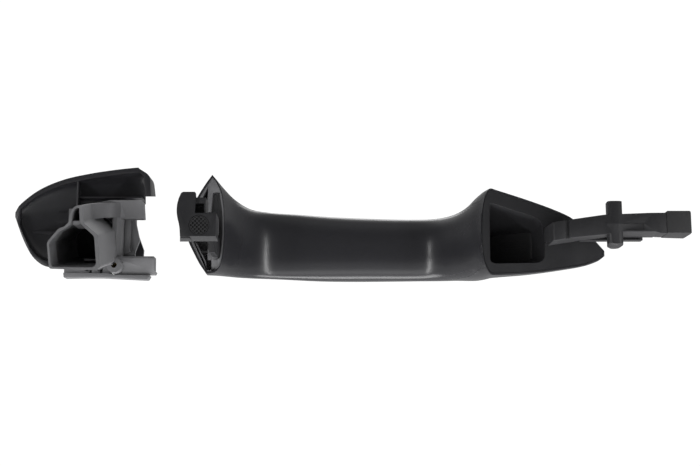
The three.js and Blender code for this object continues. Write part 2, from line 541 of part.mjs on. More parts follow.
/** Threaded sleeve that the fixing screw from the door's edge bites into. */
function fixingInsert() {
  return turnedAlongY([[1, -6.4], [1.95, -6.4], [1.95, -2.6], [1, -2.6], [1, -6.4]], BOSS_HOLE, 20);
}

/** Rail along the cap's lower edge that seats in the door, with its web and gussets. */
function capLowerRail() {
  const rail = across([[-241.6, -20.2], [-241.3, -22.3, 0.5], [-226.6, -22], [-204.2, -23.2, 0.7],
    [-203.2, -21.2, 0.4], [-218.7, -21], [-222, -20.4]], -6, -1.2);
  const web = across([[-241.6, -22], [-241.6, -16.8], [-219.8, -16.4], [-219.4, -22.2]], -2.2, -1.2);
  const gusset = (x) => block([x, -5, -22], [x + 1, -1.2, -18.8]);
  const bossRoom = turnedAlongY([[0, -12], [BOSS_TUBE_RADIUS + GAP, -12], [BOSS_TUBE_RADIUS + GAP, 0], [0, 0]],
    BOSS_HOLE, 20);
  return [-239.6, -232.4, -227].reduce((whole, x) => whole.add(gusset(x)), rail.add(web)).subtract(bossRoom);
}

// ---------------------------------------------------------------- materials and assembly

const paint = (color, roughness, metalness = 0) => new THREE.MeshStandardMaterial({ color, roughness, metalness });

const SATIN_BLACK = [0x2c2c30, 0.42];
const MOULDED_BLACK = [0x26262a, 0.55];
const RUBBER_BLACK = [0x1d1d1f, 0.8];
const ZINC_STEEL = [0x8f9296, 0.35, 0.9];
const BRASS = [0xb08d4a, 0.35, 0.9];

/** A named mesh of one solid. */
function piece(name, body, finish) {
  const mesh = new THREE.Mesh(geometryOf(body), paint(...finish));
  mesh.name = name;
  return mesh;
}

const PIN_CHAMFER = 0.3;
const PIN_BOTTOM = BORE_BOTTOM + GAP;
const PIN_TOP = BOSS_TOP + 0.6;
const hingePin = turnedOnPin([[0, PIN_BOTTOM], [PIN_RADIUS - PIN_CHAMFER, PIN_BOTTOM],
  [PIN_RADIUS, PIN_BOTTOM + PIN_CHAMFER], [PIN_RADIUS, PIN_TOP - PIN_CHAMFER],
  [PIN_RADIUS - PIN_CHAMFER, PIN_TOP], [0, PIN_TOP]]);

const pivot = new THREE.Group();
pivot.add(piece('hinge_pin', hingePin, ZINC_STEEL));

const handle = new THREE.Group();
handle.add(
  piece('grip_outer_shell', shellHalf(1), SATIN_BLACK),
  piece('grip_inner_shell', shellHalf(-1), SATIN_BLACK),
  piece('grip_core', gripCore(), MOULDED_BLACK),
  piece('front_foot_plate', frontFootPlate(), MOULDED_BLACK),
  piece('rear_foot_plate', rearFootPlate(), MOULDED_BLACK),
  piece('hinge_arm', hingeArm(), MOULDED_BLACK),
  piece('arm_leaf_spring', armLeafSpring(), MOULDED_BLACK),
  piece('arm_end_buffer', armEndBuffer(), RUBBER_BLACK),
  piece('claw_hook', clawHook(), MOULDED_BLACK),
  piece('claw_buffer', clawBuffer(), RUBBER_BLACK),
  piece('claw_pin', clawPin(0), ZINC_STEEL),
  piece('foot_screw_front', screw(...FRONT_SCREW), ZINC_STEEL),
  piece('foot_screw_rear', screw(...REAR_SCREW), ZINC_STEEL),
  piece('arm_screw', screw(...ARM_SCREW), ZINC_STEEL),
);

const endCap = new THREE.Group();
endCap.add(
  piece('cap_cover', capCover(), SATIN_BLACK),
  piece('lock_carrier', lockCarrier(), MOULDED_BLACK),
  piece('cap_clip', capClip(), MOULDED_BLACK),
  piece('fixing_insert', fixingInsert(), BRASS),
  piece('cap_lower_rail', capLowerRail(), MOULDED_BLACK),
);

const doorHandle = new THREE.Group();
doorHandle.add(pivot, handle, endCap);
doorHandle.position.y = DOOR_TO_PIN;

export default doorHandle;
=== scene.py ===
"""Strap-type car door handle and its end cap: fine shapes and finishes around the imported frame.

Shapes are drawn in millimetres with depth 0 on the door skin, depth growing away from the car, and are
moved and scaled into the frame's metres when they are finished.
"""

import json
import logging
import math
from collections.abc import Callable, Sequence
from dataclasses import dataclass, replace
from enum import Enum

import bmesh
import bpy
from mathutils import Matrix, Vector


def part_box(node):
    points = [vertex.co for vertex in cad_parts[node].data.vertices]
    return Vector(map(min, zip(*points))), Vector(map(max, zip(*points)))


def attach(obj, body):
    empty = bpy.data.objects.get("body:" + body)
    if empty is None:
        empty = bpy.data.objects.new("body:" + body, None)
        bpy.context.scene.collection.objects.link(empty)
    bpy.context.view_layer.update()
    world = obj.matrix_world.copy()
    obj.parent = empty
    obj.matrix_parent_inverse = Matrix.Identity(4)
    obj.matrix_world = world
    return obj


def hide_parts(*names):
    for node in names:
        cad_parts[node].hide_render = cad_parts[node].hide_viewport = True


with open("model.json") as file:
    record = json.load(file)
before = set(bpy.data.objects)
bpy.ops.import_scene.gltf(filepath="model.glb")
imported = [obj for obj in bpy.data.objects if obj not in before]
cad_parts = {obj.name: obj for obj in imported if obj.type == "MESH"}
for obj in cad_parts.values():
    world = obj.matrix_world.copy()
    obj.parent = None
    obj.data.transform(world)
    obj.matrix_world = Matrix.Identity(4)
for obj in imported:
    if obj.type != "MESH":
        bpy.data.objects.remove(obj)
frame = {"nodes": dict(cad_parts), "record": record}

log = logging.getLogger("door_handle")

# A millimetre in metres. Then, in millimetres: the door skin's place in the frame, how far cutters reach,
# the shells' wall, how near two points are merged, and how far a hollow is lengthened towards the car.
MM = 0.001
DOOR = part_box("grip_outer_shell")[0][1] / MM
THROUGH = 60.0
WALL = 2.3
WELD = 0.001
OPENING = 0.6

Corner = tuple[float, ...]
Point = tuple[float, float]


class Body(Enum):
    """The bodies of the frame that pieces ride on."""

    PIVOT = "pivot"
    HANDLE = "handle"
    END_CAP = "end_cap"


class Operation(Enum):
    """Ways to combine two solids."""

    JOIN = "UNION"
    CUT = "DIFFERENCE"
    KEEP = "INTERSECT"


# ------------------------------------------------------------------ curves and outlines


@dataclass(frozen=True)
class Guide:
    """A smooth curve through chosen points, flat beyond its ends."""

    points: tuple[Point, ...]

    def __call__(self, at: float) -> float:
        """Read the curve.

        Args:
            at: Position along it.

        Returns:
            Its value there.
        """
        x = min(max(at, self.points[0][0]), self.points[-1][0])
        i = max(next(k for k, point in enumerate(self.points) if point[0] >= x) - 1, 0)
        (x0, v0), (x1, v1) = self.points[i], self.points[i + 1]
        span = x1 - x0
        t = (x - x0) / span
        rise = t * t * (3 - 2 * t)
        ease = t * (1 - t)
        return v0 + (v1 - v0) * rise + span * ease * (self._slope(i) * (1 - t) - self._slope(i + 1) * t)

    def _slope(self, i: int) -> float:
        """Return the slope at one of the points, from its neighbours."""
        before = self.points[max(i - 1, 0)]
        after = self.points[min(i + 1, len(self.points) - 1)]
        return (after[1] - before[1]) / (after[0] - before[0])


def rounded(corners: Sequence[Corner], steps: int = 6) -> list[Point]:
    """Round the corners of a closed outline.

    Args:
        corners: Corners as (u, v) or (u, v, radius).
        steps: Points along each rounded corner.

    Returns:
        The outline's points.
    """
    points = []
    for i, corner in enumerate(corners):
        here = Vector(corner[:2])
        radius = corner[2] if len(corner) > 2 else 0.0
        if not radius:
            points.append(tuple(here))
            continue
        start = here + (Vector(corners[i - 1][:2]) - here).normalized() * radius
        end = here + (Vector(corners[(i + 1) % len(corners)][:2]) - here).normalized() * radius
        for k in range(steps + 1):
            t = k / steps
            points.append(tuple(start * (1 - t) ** 2 + here * 2 * t * (1 - t) + end * t * t))
    return points


def grown(points: Sequence[Point], amount: float) -> list[Point]:
    """Move a closed outline outwards by an amount, whichever way round it runs."""
    count = len(points)
    area = sum(points[k - 1][0] * points[k][1] - points[k][0] * points[k - 1][1] for k in range(count))
    sign = math.copysign(amount, area)
    moved = []
    for k, (u, v) in enumerate(points):
        run = (Vector(points[(k + 1) % count]) - Vector(points[k - 1])).normalized()
        moved.append((u + run.y * sign, v - run.x * sign))
    return moved


def along(curve: Guide, start: float, stop: float, count: int) -> list[Point]:
    """Sample a guide evenly, as (position, value) points."""
    return [(position, curve(position)) for position in spread(start, stop, count)]


def spread(start: float, stop: float, count: int) -> list[float]:
    """Return evenly spaced numbers from start to stop."""
    return [start + (stop - start) * k / (count - 1) for k in range(count)]


# ------------------------------------------------------------------ solids


class Solid:
    """A closed mesh in drawing millimetres that can be joined, cut and rounded."""

    def __init__(self, vertices: Sequence[Sequence[float]], faces: Sequence[Sequence[int]]) -> None:
        """Make the mesh, with its faces pointing outwards.

        Args:
            vertices: Points as (x, depth, z).
            faces: Lists of vertex numbers.
        """
        mesh = bpy.data.meshes.new("solid")
        mesh.from_pydata([tuple(vertex) for vertex in vertices], [], [tuple(face) for face in faces])
        self.item = bpy.data.objects.new("solid", mesh)
        bpy.context.scene.collection.objects.link(self.item)
        self._edit(lambda work: bmesh.ops.recalc_face_normals(work, faces=work.faces))

    def _edit(self, change: Callable[[bmesh.types.BMesh], object]) -> None:
        """Change the mesh through a bmesh."""
        work = bmesh.new()
        work.from_mesh(self.item.data)
        change(work)
        work.to_mesh(self.item.data)
        work.free()

    def apply(self) -> None:
        """Turn the modifiers into plain mesh."""
        evaluated = self.item.evaluated_get(bpy.context.evaluated_depsgraph_get())
        mesh = bpy.data.meshes.new_from_object(evaluated)
        self.item.modifiers.clear()
        self.item.data = mesh

    def _combine(self, other: "Solid", operation: Operation) -> "Solid":
        """Join, cut or keep with another solid, which is used up."""
        modifier = self.item.modifiers.new("combine", "BOOLEAN")
        modifier.operation = operation.value
        modifier.solver = "MANIFOLD"
        modifier.object = other.item
        self.apply()
        bpy.data.objects.remove(other.item)
        return self

    def add(self, *others: "Solid") -> "Solid":
        """Join other solids to this one."""
        for other in others:
            self._combine(other, Operation.JOIN)
        return self

    def cut(self, *others: "Solid") -> "Solid":
        """Take other solids away from this one."""
        for other in others:
            self._combine(other, Operation.CUT)
        return self

    def keep(self, other: "Solid") -> "Solid":
        """Keep only what lies inside another solid."""
        return self._combine(other, Operation.KEEP)

    def copy(self) -> "Solid":
        """Return a second solid of the same shape."""
        twin = object.__new__(Solid)
        twin.item = self.item.copy()
        twin.item.data = self.item.data.copy()
        bpy.context.scene.collection.objects.link(twin.item)
        return twin

    def turn(self, turning: Matrix) -> "Solid":
        """Turn the solid about the origin."""
        self.item.data.transform(turning)
        return self

    def move(self, x: float, depth: float, z: float) -> "Solid":
        """Shift the solid."""
        self.item.data.transform(Matrix.Translation((x, depth, z)))
        return self

    def opened(self) -> "Solid":
        """Lengthen the solid towards the car, so that it opens what it is cut from."""
        return self.add(self.copy().move(0, -OPENING, 0))

    def flatten(self, angle: float = 0.4) -> "Solid":
        """Merge doubled points and join faces that lie in one plane.

        Args:
            angle: Largest angle, in degrees, between faces that are joined.

        Returns:
            The solid itself.
        """
        def change(work: bmesh.types.BMesh) -> None:
            """Merge the points, then join the faces."""
            bmesh.ops.remove_doubles(work, verts=work.verts, dist=3 * WELD)
            bmesh.ops.dissolve_limit(work, angle_limit=math.radians(angle), verts=work.verts,
                                     edges=work.edges)

        self._edit(change)
        return self

    def soften(self, width: float = 0.3, segments: int = 3, angle: float = 30.0) -> "Solid":
        """Round the sharp edges.

        Args:
            width: Size of the rounding.
            segments: Steps across it.
            angle: Smallest turn between faces, in degrees, that counts as an edge.

        Returns:
            The solid itself.
        """
        modifier = self.item.modifiers.new("soften", "BEVEL")
        modifier.width = width
        modifier.segments = segments
        modifier.limit_method = "ANGLE"
        modifier.angle_limit = math.radians(angle)
        modifier.miter_outer = "MITER_ARC"
        modifier.use_clamp_overlap = True
        self.apply()
        return self

    def finish(self, name: str, body: Body, finish: "Finish", nodes: Sequence[str], shading: float = 34.0,
               ) -> bpy.types.Object:
        """Place the solid in the frame, dress it and say what it is.

        Args:
            name: The piece's name.
            body: The body that it rides on.
            finish: Its finish.
            nodes: The frame's nodes that it stands for.
            shading: Angle in degrees above which an edge stays crisp.

        Returns:
            The piece.
        """
        self._edit(lambda work: bmesh.ops.remove_doubles(work, verts=work.verts, dist=WELD))
        mesh = self.item.data
        mesh.transform(Matrix.Scale(MM, 4) @ Matrix.Translation((0, DOOR, 0)))
        mesh.shade_smooth()
        mesh.set_sharp_from_angle(angle=math.radians(shading))
        return dress(self.item, name, body, finish, nodes)


def dress(item: bpy.types.Object, name: str, body: Body, finish: "Finish", nodes: Sequence[str],
          ) -> bpy.types.Object:
    """Name a finished piece, give it its finish and tell the frame about it.

    Args:
        item: The piece, with its place in its mesh.
        name: The piece's name.
        body: The body that it rides on.
        finish: Its finish.
        nodes: The frame's nodes that it stands for.

    Returns:
        The piece.
    """
    item.name = name
    item.data.name = name
    item.data.materials.clear()
    item.data.materials.append(finish.material())
    for polygon in item.data.polygons:
        polygon.material_index = 0
    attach(item, body.value)
    if nodes:
        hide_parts(*nodes)
    log.info("%s: %d faces on %s", name, len(item.data.polygons), body.value)
    return item


def prism(points: Sequence[Point], low: float, high: float,
          place: Callable[[float, float, float], tuple]) -> Solid:
    """Extrude an outline.

    Args:
        points: The outline.
        low: Start of the extrusion.
        high: End of the extrusion.
        place: Turns (u, v, height) into (x, depth, z).

    Returns:
        The solid.
    """
    return loft([[place(u, v, height) for u, v in points] for height in (low, high)])


def across(corners: Sequence[Corner], low: float, high: float) -> Solid:
    """Extrude an (x, z) outline between two depths."""
    return prism(rounded(corners), low, high, lambda u, v, h: (u, h, v))


def upright(corners: Sequence[Corner], low: float, high: float) -> Solid:
    """Extrude an (x, depth) outline between two heights."""
    return prism(rounded(corners), low, high, lambda u, v, h: (u, v, h))


def over_ends(corners: Sequence[Corner], low: float, high: float) -> Solid:
    """Extrude a (depth, z) outline between two stations x."""
    return prism(rounded(corners), low, high, lambda u, v, h: (h, u, v))


def block(low: Sequence[float], high: Sequence[float]) -> Solid:
    """Make a box between two corners."""
    outline = [(low[0], low[2]), (high[0], low[2]), (high[0], high[2]), (low[0], high[2])]
    return across(outline, low[1], high[1])


def car_side() -> Solid:
    """Return everything on the car's side of the door skin."""
    return block((-400, -200, -200), (200, 0, 200))


def turned(profile: Sequence[Point], place: Callable[[float, float, float], tuple],
           sides: int = 64) -> Solid:
    """Turn a profile about an axis.

    Args:
        profile: (radius, height) points along the axis. The first and the last lie on it, at flat ends.
        place: Turns (across, up, height) into (x, depth, z).
        sides: Faces round the axis.

    Returns:
        The solid.
    """
    turn = [2 * math.pi * k / sides for k in range(sides)]
    return loft([[place(r * math.cos(a), r * math.sin(a), h) for a in turn] for r, h in profile[1:-1]])


def along_depth(profile: Sequence[Point], centre: Point, sides: int = 64) -> Solid:
    """Turn a (radius, depth) profile about an axis across the door at (x, z)."""
    return turned(profile, lambda u, v, h: (centre[0] + u, h, centre[1] + v), sides)


def along_height(profile: Sequence[Point], centre: Point, sides: int = 64) -> Solid:
    """Turn a (radius, z) profile about an upright axis at (x, depth)."""
    return turned(profile, lambda u, v, h: (centre[0] + u, centre[1] + v, h), sides)


def rod(centre: Point, radius: float, near: float, far: float, sides: int = 64) -> Solid:
    """Make a round rod across the door at (x, z), between two depths."""
    return along_depth([(0, near), (radius, near), (radius, far), (0, far)], centre, sides)


def post(centre: Point, radius: float, low: float, high: float, sides: int = 64) -> Solid:
    """Make a round post at (x, depth), between two heights."""
    return along_height([(0, low), (radius, low), (radius, high), (0, high)], centre, sides)


def loft(rings: Sequence[Sequence[Sequence[float]]]) -> Solid:
    """Skin a row of rings that have the same number of points, with a flat end on each."""
    count = len(rings[0])
    starts = range(0, len(rings) * count, count)
    sides = [(a + k, a + (k + 1) % count, b + (k + 1) % count, b + k)
             for a, b in zip(starts, starts[1:]) for k in range(count)]
    ends = [tuple(range(start, start + count)) for start in (starts[0], starts[-1])]
    return Solid([point for ring in rings for point in ring], [*sides, *ends])


@dataclass(frozen=True)
class Section:
    """A soft-cornered section across a shell."""

    near: float
    far: float
    low: float
    high: float
    squareness: float

    def ring(self, x: float, count: int) -> list[tuple[float, float, float]]:
        """Return the section's points at a station."""
        power = 2 / self.squareness

        def spot(low: float, high: float, share: float) -> float:
            """Return the place between two limits for a share from -1 to 1."""
            return (low + high) / 2 + (high - low) / 2 * math.copysign(abs(share) ** power, share)

        angles = [2 * math.pi * (k + 0.5) / count for k in range(count)]
        return [(x, spot(self.near, self.far, math.cos(a)), spot(self.low, self.high, math.sin(a)))
                for a in angles]


# ------------------------------------------------------------------ node trees and finishes


class Value:
    """One number in a node tree, with arithmetic that adds Math nodes."""

    def __init__(self, kit: "NodeKit", socket: bpy.types.NodeSocket) -> None:
        self.kit = kit
        self.socket = socket

    def _math(self, operation: str, first: object, second: object) -> "Value":
        """Add a Math node and return its result."""
        return self.kit.math(operation, first, second)

    def __add__(self, other: object) -> "Value":
        """Return self + other."""
        return self._math("ADD", self, other)

    __radd__ = __add__

    def __sub__(self, other: object) -> "Value":
        """Return self - other."""
        return self._math("SUBTRACT", self, other)

    def __rsub__(self, other: object) -> "Value":
        """Return other - self."""
        return self._math("SUBTRACT", other, self)

    def __mul__(self, other: object) -> "Value":
        """Return self * other."""
        return self._math("MULTIPLY", self, other)

    __rmul__ = __mul__

    def __truediv__(self, other: object) -> "Value":
        """Return self / other."""
        return self._math("DIVIDE", self, other)

    def __pow__(self, other: object) -> "Value":
        """Return self ** other."""
        return self._math("POWER", self, other)


class NodeKit:
    """Adds nodes to one shader or geometry tree."""

    def __init__(self, tree: bpy.types.NodeTree) -> None:
        """Take an empty tree."""
        self.tree = tree

    def node(self, kind: str, settings: dict[str, object] | None = None,
             inputs: dict[str | int, object] | None = None) -> bpy.types.Node:
        """Add a node.

        Args:
            kind: Its type.
            settings: Properties, set first.
            inputs: Values or links of its sockets, by name or number.

        Returns:
            The node.
        """
        node = self.tree.nodes.new(kind)
        for name, value in (settings or {}).items():
            setattr(node, name, value)
        for name, value in (inputs or {}).items():
            socket = value.socket if isinstance(value, Value) else value
            if isinstance(socket, bpy.types.NodeSocket):
                self.tree.links.new(socket, node.inputs[name])
            else:
                node.inputs[name].default_value = socket
        return node

    def math(self, operation: str, first: object, second: object) -> Value:
        """Add a Math node and return its result."""
        node = self.node("ShaderNodeMath", {"operation": operation}, {0: first, 1: second})
        return Value(self, node.outputs[0])

    def rise(self, value: object, span: Point, low: float, high: float) -> Value:
        """Return a smooth rise from low to high while a value crosses a span."""
        node = self.node("ShaderNodeMapRange", {"interpolation_type": "SMOOTHSTEP"},
                         {"Value": value, "From Min": span[0], "From Max": span[1],
                          "To Min": low, "To Max": high})
        return Value(self, node.outputs["Result"])

    def noise(self, place: object, size: float, detail: float = 2.0, roughness: float = 0.55) -> Value:
        """Return soft noise from 0 to 1 with grains of about the given size in metres."""
        node = self.node("ShaderNodeTexNoise", {}, {"Vector": place, "Scale": 1 / size, "Detail": detail,
                                                    "Roughness": roughness})
        return Value(self, node.outputs["Fac"])

    def blend(self, factor: object, first: Sequence[float],
              second: Sequence[float]) -> bpy.types.NodeSocket:
        """Mix two colours and return the result's socket."""
        node = self.node("ShaderNodeMix", {"data_type": "RGBA"},
                         {"Factor": factor, 6: (*first, 1.0), 7: (*second, 1.0)})
        return node.outputs[2]


@dataclass(frozen=True)
class Finish:
    """A surface finish: its colours, gloss and grain. Sizes are in metres.

    Its name differs from every slot's, because the frame's own materials are called after the slots.
    """

    name: str
    slot: str
    dark: tuple[float, float, float]
    light: tuple[float, float, float]
    roughness: float
    roughness_spread: float
    grain: float
    grain_depth: float
    patch: float = 0.018
    metallic: float = 0.0
    coat: float = 0.0
    coat_roughness: float = 0.2
    specular: float = 0.5
    speck_ratio: float = 3.1
    speck_share: float = 0.3

    def material(self) -> bpy.types.Material:
        """Build the material once and return it."""
        known = bpy.data.materials.get(self.name)
        if known:
            return known
        material = bpy.data.materials.new(self.name)
        material.use_nodes = True
        tree = material.node_tree
        tree.nodes.clear()
        kit = NodeKit(tree)
        place = kit.node("ShaderNodeTexCoord").outputs["Object"]
        shader = kit.node("ShaderNodeBsdfPrincipled", {}, {
            "Metallic": self.metallic, "Coat Weight": self.coat, "Coat Roughness": self.coat_roughness,
            "Specular IOR Level": self.specular})
        self.surface(kit, place, shader)
        kit.node("ShaderNodeOutputMaterial", {}, {"Surface": shader.outputs["BSDF"]})
        return material

    def surface(self, kit: NodeKit, place: bpy.types.NodeSocket, shader: bpy.types.Node) -> None:
        """Wire the colour, gloss and grain.

        Args:
            kit: The material's node kit.
            place: Object coordinates.
            shader: The surface shader.
        """
        patches = kit.noise(place, self.patch, 3.0)
        grain = kit.noise(place, self.grain, 2.0, 0.6)
        specks = kit.noise(place, self.grain * self.speck_ratio, 4.0, 0.7)
        mottle = patches * (1 - self.speck_share) + specks * self.speck_share
        kit.tree.links.new(kit.blend(mottle.socket, self.dark, self.light), shader.inputs["Base Color"])
        wiped = (patches - 0.5) * 2 * self.roughness_spread
        fine = (grain - 0.5) * self.roughness_spread
        kit.tree.links.new((wiped + fine + self.roughness).socket, shader.inputs["Roughness"])
        bump = kit.node("ShaderNodeBump", {}, {
            "Height": grain + specks * 0.6, "Distance": self.grain_depth, "Strength": 1.0})
        kit.tree.links.new(bump.outputs["Normal"], shader.inputs["Normal"])


OUTER_SATIN = Finish("outer_satin_black", "outer_satin", (0.017, 0.017, 0.0195), (0.025, 0.025, 0.028),
                     0.36, 0.05, 0.0011, 0.000006, coat=0.15, coat_roughness=0.22)
INNER_SATIN = Finish("inner_satin_black", "inner_satin", (0.017, 0.017, 0.0195), (0.025, 0.025, 0.028),
                     0.24, 0.03, 0.0008, 0.000008)
MOULDED = Finish("moulded_grain", "moulded_black", (0.012, 0.012, 0.0135), (0.022, 0.022, 0.024),
                 0.5, 0.09, 0.00055, 0.00002, patch=0.009, specular=0.4)
# A lit copy of the moulded black, in the same moulded_black slot, for the lock carrier, the cap clip, the
# cap rail and the rear foot's insert. Its much lighter colours are painted light: they stand in for the
# light that falls on these parts from below and from the right. They are not a real difference in the
# plastic's colour.
CARRIER_PAINTED_LIGHT = replace(MOULDED, name="carrier_painted_light", dark=(0.10, 0.10, 0.105), light=(0.18, 0.18, 0.186),
                  specular=0.5)
RUBBER = Finish("rubber_matt", "rubber_black", (0.012, 0.012, 0.013), (0.024, 0.024, 0.025),
                0.72, 0.08, 0.0004, 0.00002, patch=0.006)
ZINC = Finish("zinc_plated", "zinc_steel", (0.42, 0.43, 0.45), (0.6, 0.61, 0.62),
              0.32, 0.1, 0.0004, 0.000006, patch=0.004, metallic=1.0)
BRASS = Finish("brass_turned", "brass_insert", (0.5, 0.36, 0.14), (0.72, 0.55, 0.25),
               0.34, 0.1, 0.0004, 0.000006, patch=0.004, metallic=1.0)
FINISHES = {finish.slot: finish for finish in (OUTER_SATIN, INNER_SATIN, MOULDED, RUBBER, ZINC, BRASS)}


# ------------------------------------------------------------------ the pull handle


@dataclass(frozen=True)
class Strap:
    """The arched strap that the hand pulls, in two shells, and its two feet."""

    outer: Guide = Guide((
        (-192, 11.5), (-180, 18.5), (-165, 28.5), (-150, 36.5), (-133, 42), (-113, 44.3), (-95, 43.4),
        (-80, 40.6), (-65, 35.6), (-50, 29), (-33, 21.4), (-18, 14.8), (-7, 9.4), (-2, 5.8), (-0.6, 3.2)))
    inner: Guide = Guide((
        (-192, -13), (-182, -14), (-176, -12), (-173.2, -5.5), (-171.3, 0), (-168, 8.5), (-163, 16.5),
        (-157, 22.6), (-150, 26.2), (-140, 28.2), (-115, 29.4), (-92, 28.8), (-80, 26.6), (-72.5, 22),
        (-66, 14.5), (-60, 6), (-55.6, 0), (-53, -8), (-50, -21), (-33, -19), (-18, -12.4), (-7, -7.6),
        (-2, -4), (-0.6, -1.8)))
    top: Guide = Guide((
        (-192, 33), (-180, 28.6), (-176.7, 25.2), (-173, 21.2), (-168.5, 17.4), (-162, 14.4), (-154, 13.8),
        (-140, 13.6), (-125, 12.8), (-105, 12), (-85, 11.2), (-72, 10.9), (-65, 11.8), (-60, 14.2),
        (-56, 17.9), (-52.5, 19.7), (-48, 18.4), (-32, 13), (-20, 8.3), (-14, 5), (-7.5, -1.6),
        (-3, -6.6), (-0.6, -9.4)))
    bottom: Guide = Guide((
        (-192, -19.6), (-178, -19.8), (-168, -18.9), (-150, -18), (-126, -18.4), (-83, -18.5),
        (-66, -19.4), (-56, -20.5), (-45, -20.3), (-33, -19.5), (-18.5, -17.6), (-9.5, -16),
        (-3.5, -13.9), (-0.6, -11.8)))
    nose: Guide = Guide((
        (-21.5, -178), (-19, -179.6), (-15.2, -182.2), (-9.6, -185.2), (-5.2, -187.3), (-0.5, -188.5),
        (4, -188.2), (9.6, -186.6), (15.6, -183.6), (21.6, -180), (26.5, -176.6)))
    parting: Guide = Guide((
        (-200, -30), (-180, -9), (-175.4, 0), (-171, 9.5), (-165, 18.5), (-156, 27), (-142, 33.5),
        (-113, 37), (-90, 35.6), (-76, 30.8), (-66, 22), (-59, 11.5), (-53.6, 0), (-50, -10), (10, -60)))
    start: float = -190.0
    end: float = -0.6
    squareness: float = 2.5
    lip: float = 0.9
    seat_depth: float = 3.2
    joint: float = 0.15

    def form(self, inset: float, step: float, count: int) -> Solid:
        """Return the strap's full form.

        Args:
            inset: How far it is drawn in from the surface.
            step: Spacing of its sections.
            count: Points round each section.

        Returns:
            The solid, cut off at the door skin and at the nose.
        """
        end = self.end - inset
        stations = spread(self.start, end, int((end - self.start) / step))
        rings = [Section(self.inner(x) + inset, self.outer(x) - inset, self.bottom(x) + inset,
                         self.top(x) - inset, self.squareness).ring(x, count) for x in stations]
        nose = [(x + inset, z) for z, x in along(self.nose, -21.5, 26.5, 60)]
        behind_nose = across([*nose, (-150, 60), (20, 60), (20, -60), (nose[0][0], -60)],
                             -THROUGH, THROUGH)
        return loft(rings).keep(behind_nose).cut(car_side())

    def hollow(self) -> Solid:
        """Return the space inside the shells, open at the door side, with a seat for each foot's plate."""
        space = self.form(WALL, 1.6, 72)
        lip = self.form(self.lip, 1.2, 96)
        front = lip.copy().keep(block((-60, -1, -40), (10, self.seat_depth, 40)))
        rear = lip.keep(block((-195, -1, -40), (-170, self.seat_depth, 40)))
        parts = []
        for part in (space, front, rear):
            parts += [part.copy().move(0, -OPENING, 0), part]
        return parts[0].add(*parts[1:])

    def fill(self, inset: float, low: Sequence[float], high: Sequence[float]) -> Solid:
        """Return the strap's form drawn in by an inset, between two corners of a box."""
        return self.form(inset, 1.0, 112).keep(block(low, high))

    def half(self, shell: Solid, side: int) -> Solid:
        """Keep one side of the joint between the shells: 1 for outside, -1 for the fingers' side."""
        edge = [(x, depth + side * self.joint / 2) for x, depth in along(self.parting, -200, 10, 220)]
        return shell.keep(upright([*edge, (10, side * 120), (-200, side * 120)], -THROUGH, THROUGH))

    def build(self) -> None:
        """Make and dress both shells."""
        shell = self.form(0, 0.9, 144).cut(self.hollow())
        outside = self.half(shell.copy(), 1)
        inside = self.half(shell, -1)
        for side, name, finish in ((outside, "outer", OUTER_SATIN), (inside, "inner", INNER_SATIN)):
            side.flatten(0.05).soften(0.3, 2, 45).finish(f"grip_{name}_skin", Body.HANDLE, finish,
                                                         [f"grip_{name}_shell"])


# ------------------------------------------------------------------ small repeated parts


@dataclass(frozen=True)
class RibField:
    """A row of straight ribs from a geometry node tree, trimmed to a round field if it has a radius."""

    count: int
    pitch: float
    length: float
    width: float
    height: float
    radius: float = 0.0

    def made(self, finish: Finish) -> Solid:
        """Grow the ribs along the second axis, centred on the origin, standing up from it.

        Args:
            finish: The finish that the tree sets.

        Returns:
            The ribs as one plain mesh.
        """
        tree = bpy.data.node_groups.new("rib_field", "GeometryNodeTree")
        sizes = {"Count": self.count, "Pitch": self.pitch, "Length": self.length, "Width": self.width,
                 "Height": self.height, "Field radius": self.radius or THROUGH}
        kinds = {name: "NodeSocketInt" if name == "Count" else "NodeSocketFloat" for name in sizes}
        known = {name: tree.interface.new_socket(name, in_out="INPUT", socket_type=kind).identifier
                 for name, kind in kinds.items()}
        tree.interface.new_socket("Ribs", in_out="OUTPUT", socket_type="NodeSocketGeometry")
        self._wire(NodeKit(tree), finish)
        ribs = Solid([(0, 0, 0)], [])
        modifier = ribs.item.modifiers.new("ribs", "NODES")
        modifier.node_group = tree
        for name, size in sizes.items():
            modifier[known[name]] = size
        ribs.apply()
        return ribs

    def _wire(self, kit: NodeKit, finish: Finish) -> None:
        """Wire the tree: a line of points, a bar on each, as long as the field is wide there."""
        given = kit.node("NodeGroupInput").outputs
        size = {name: Value(kit, given[name]) for name in ("Count", "Pitch", "Length", "Width", "Height")}
        radius = Value(kit, given["Field radius"])
        first = (1 - size["Count"]) * size["Pitch"] / 2
        start = kit.node("ShaderNodeCombineXYZ", {}, {"Y": first})
        step = kit.node("ShaderNodeCombineXYZ", {}, {"Y": size["Pitch"]})
        line = kit.node("GeometryNodeMeshLine", {"mode": "OFFSET"}, {
            "Count": size["Count"], "Start Location": start.outputs[0], "Offset": step.outputs[0]})
        place = kit.node("GeometryNodeInputPosition").outputs[0]
        beside = Value(kit, kit.node("ShaderNodeSeparateXYZ", {}, {0: place}).outputs["Y"])
        chord = kit.math("MAXIMUM", radius * radius - beside * beside, 0.0001) ** 0.5 * 2
        shape = kit.node("ShaderNodeCombineXYZ", {}, {"X": kit.math("MINIMUM", size["Length"], chord),
                                                      "Y": size["Width"], "Z": size["Height"]})
        bar = kit.node("GeometryNodeMeshCube")
        rows = kit.node("GeometryNodeInstanceOnPoints", {}, {
            "Points": line.outputs[0], "Instance": bar.outputs[0], "Scale": shape.outputs[0]})
        real = kit.node("GeometryNodeRealizeInstances", {}, {0: rows.outputs[0]})
        painted = kit.node("GeometryNodeSetMaterial", {}, {"Geometry": real.outputs[0],
                                                           "Material": finish.material()})
        kit.node("NodeGroupOutput", {}, {0: painted.outputs[0]})


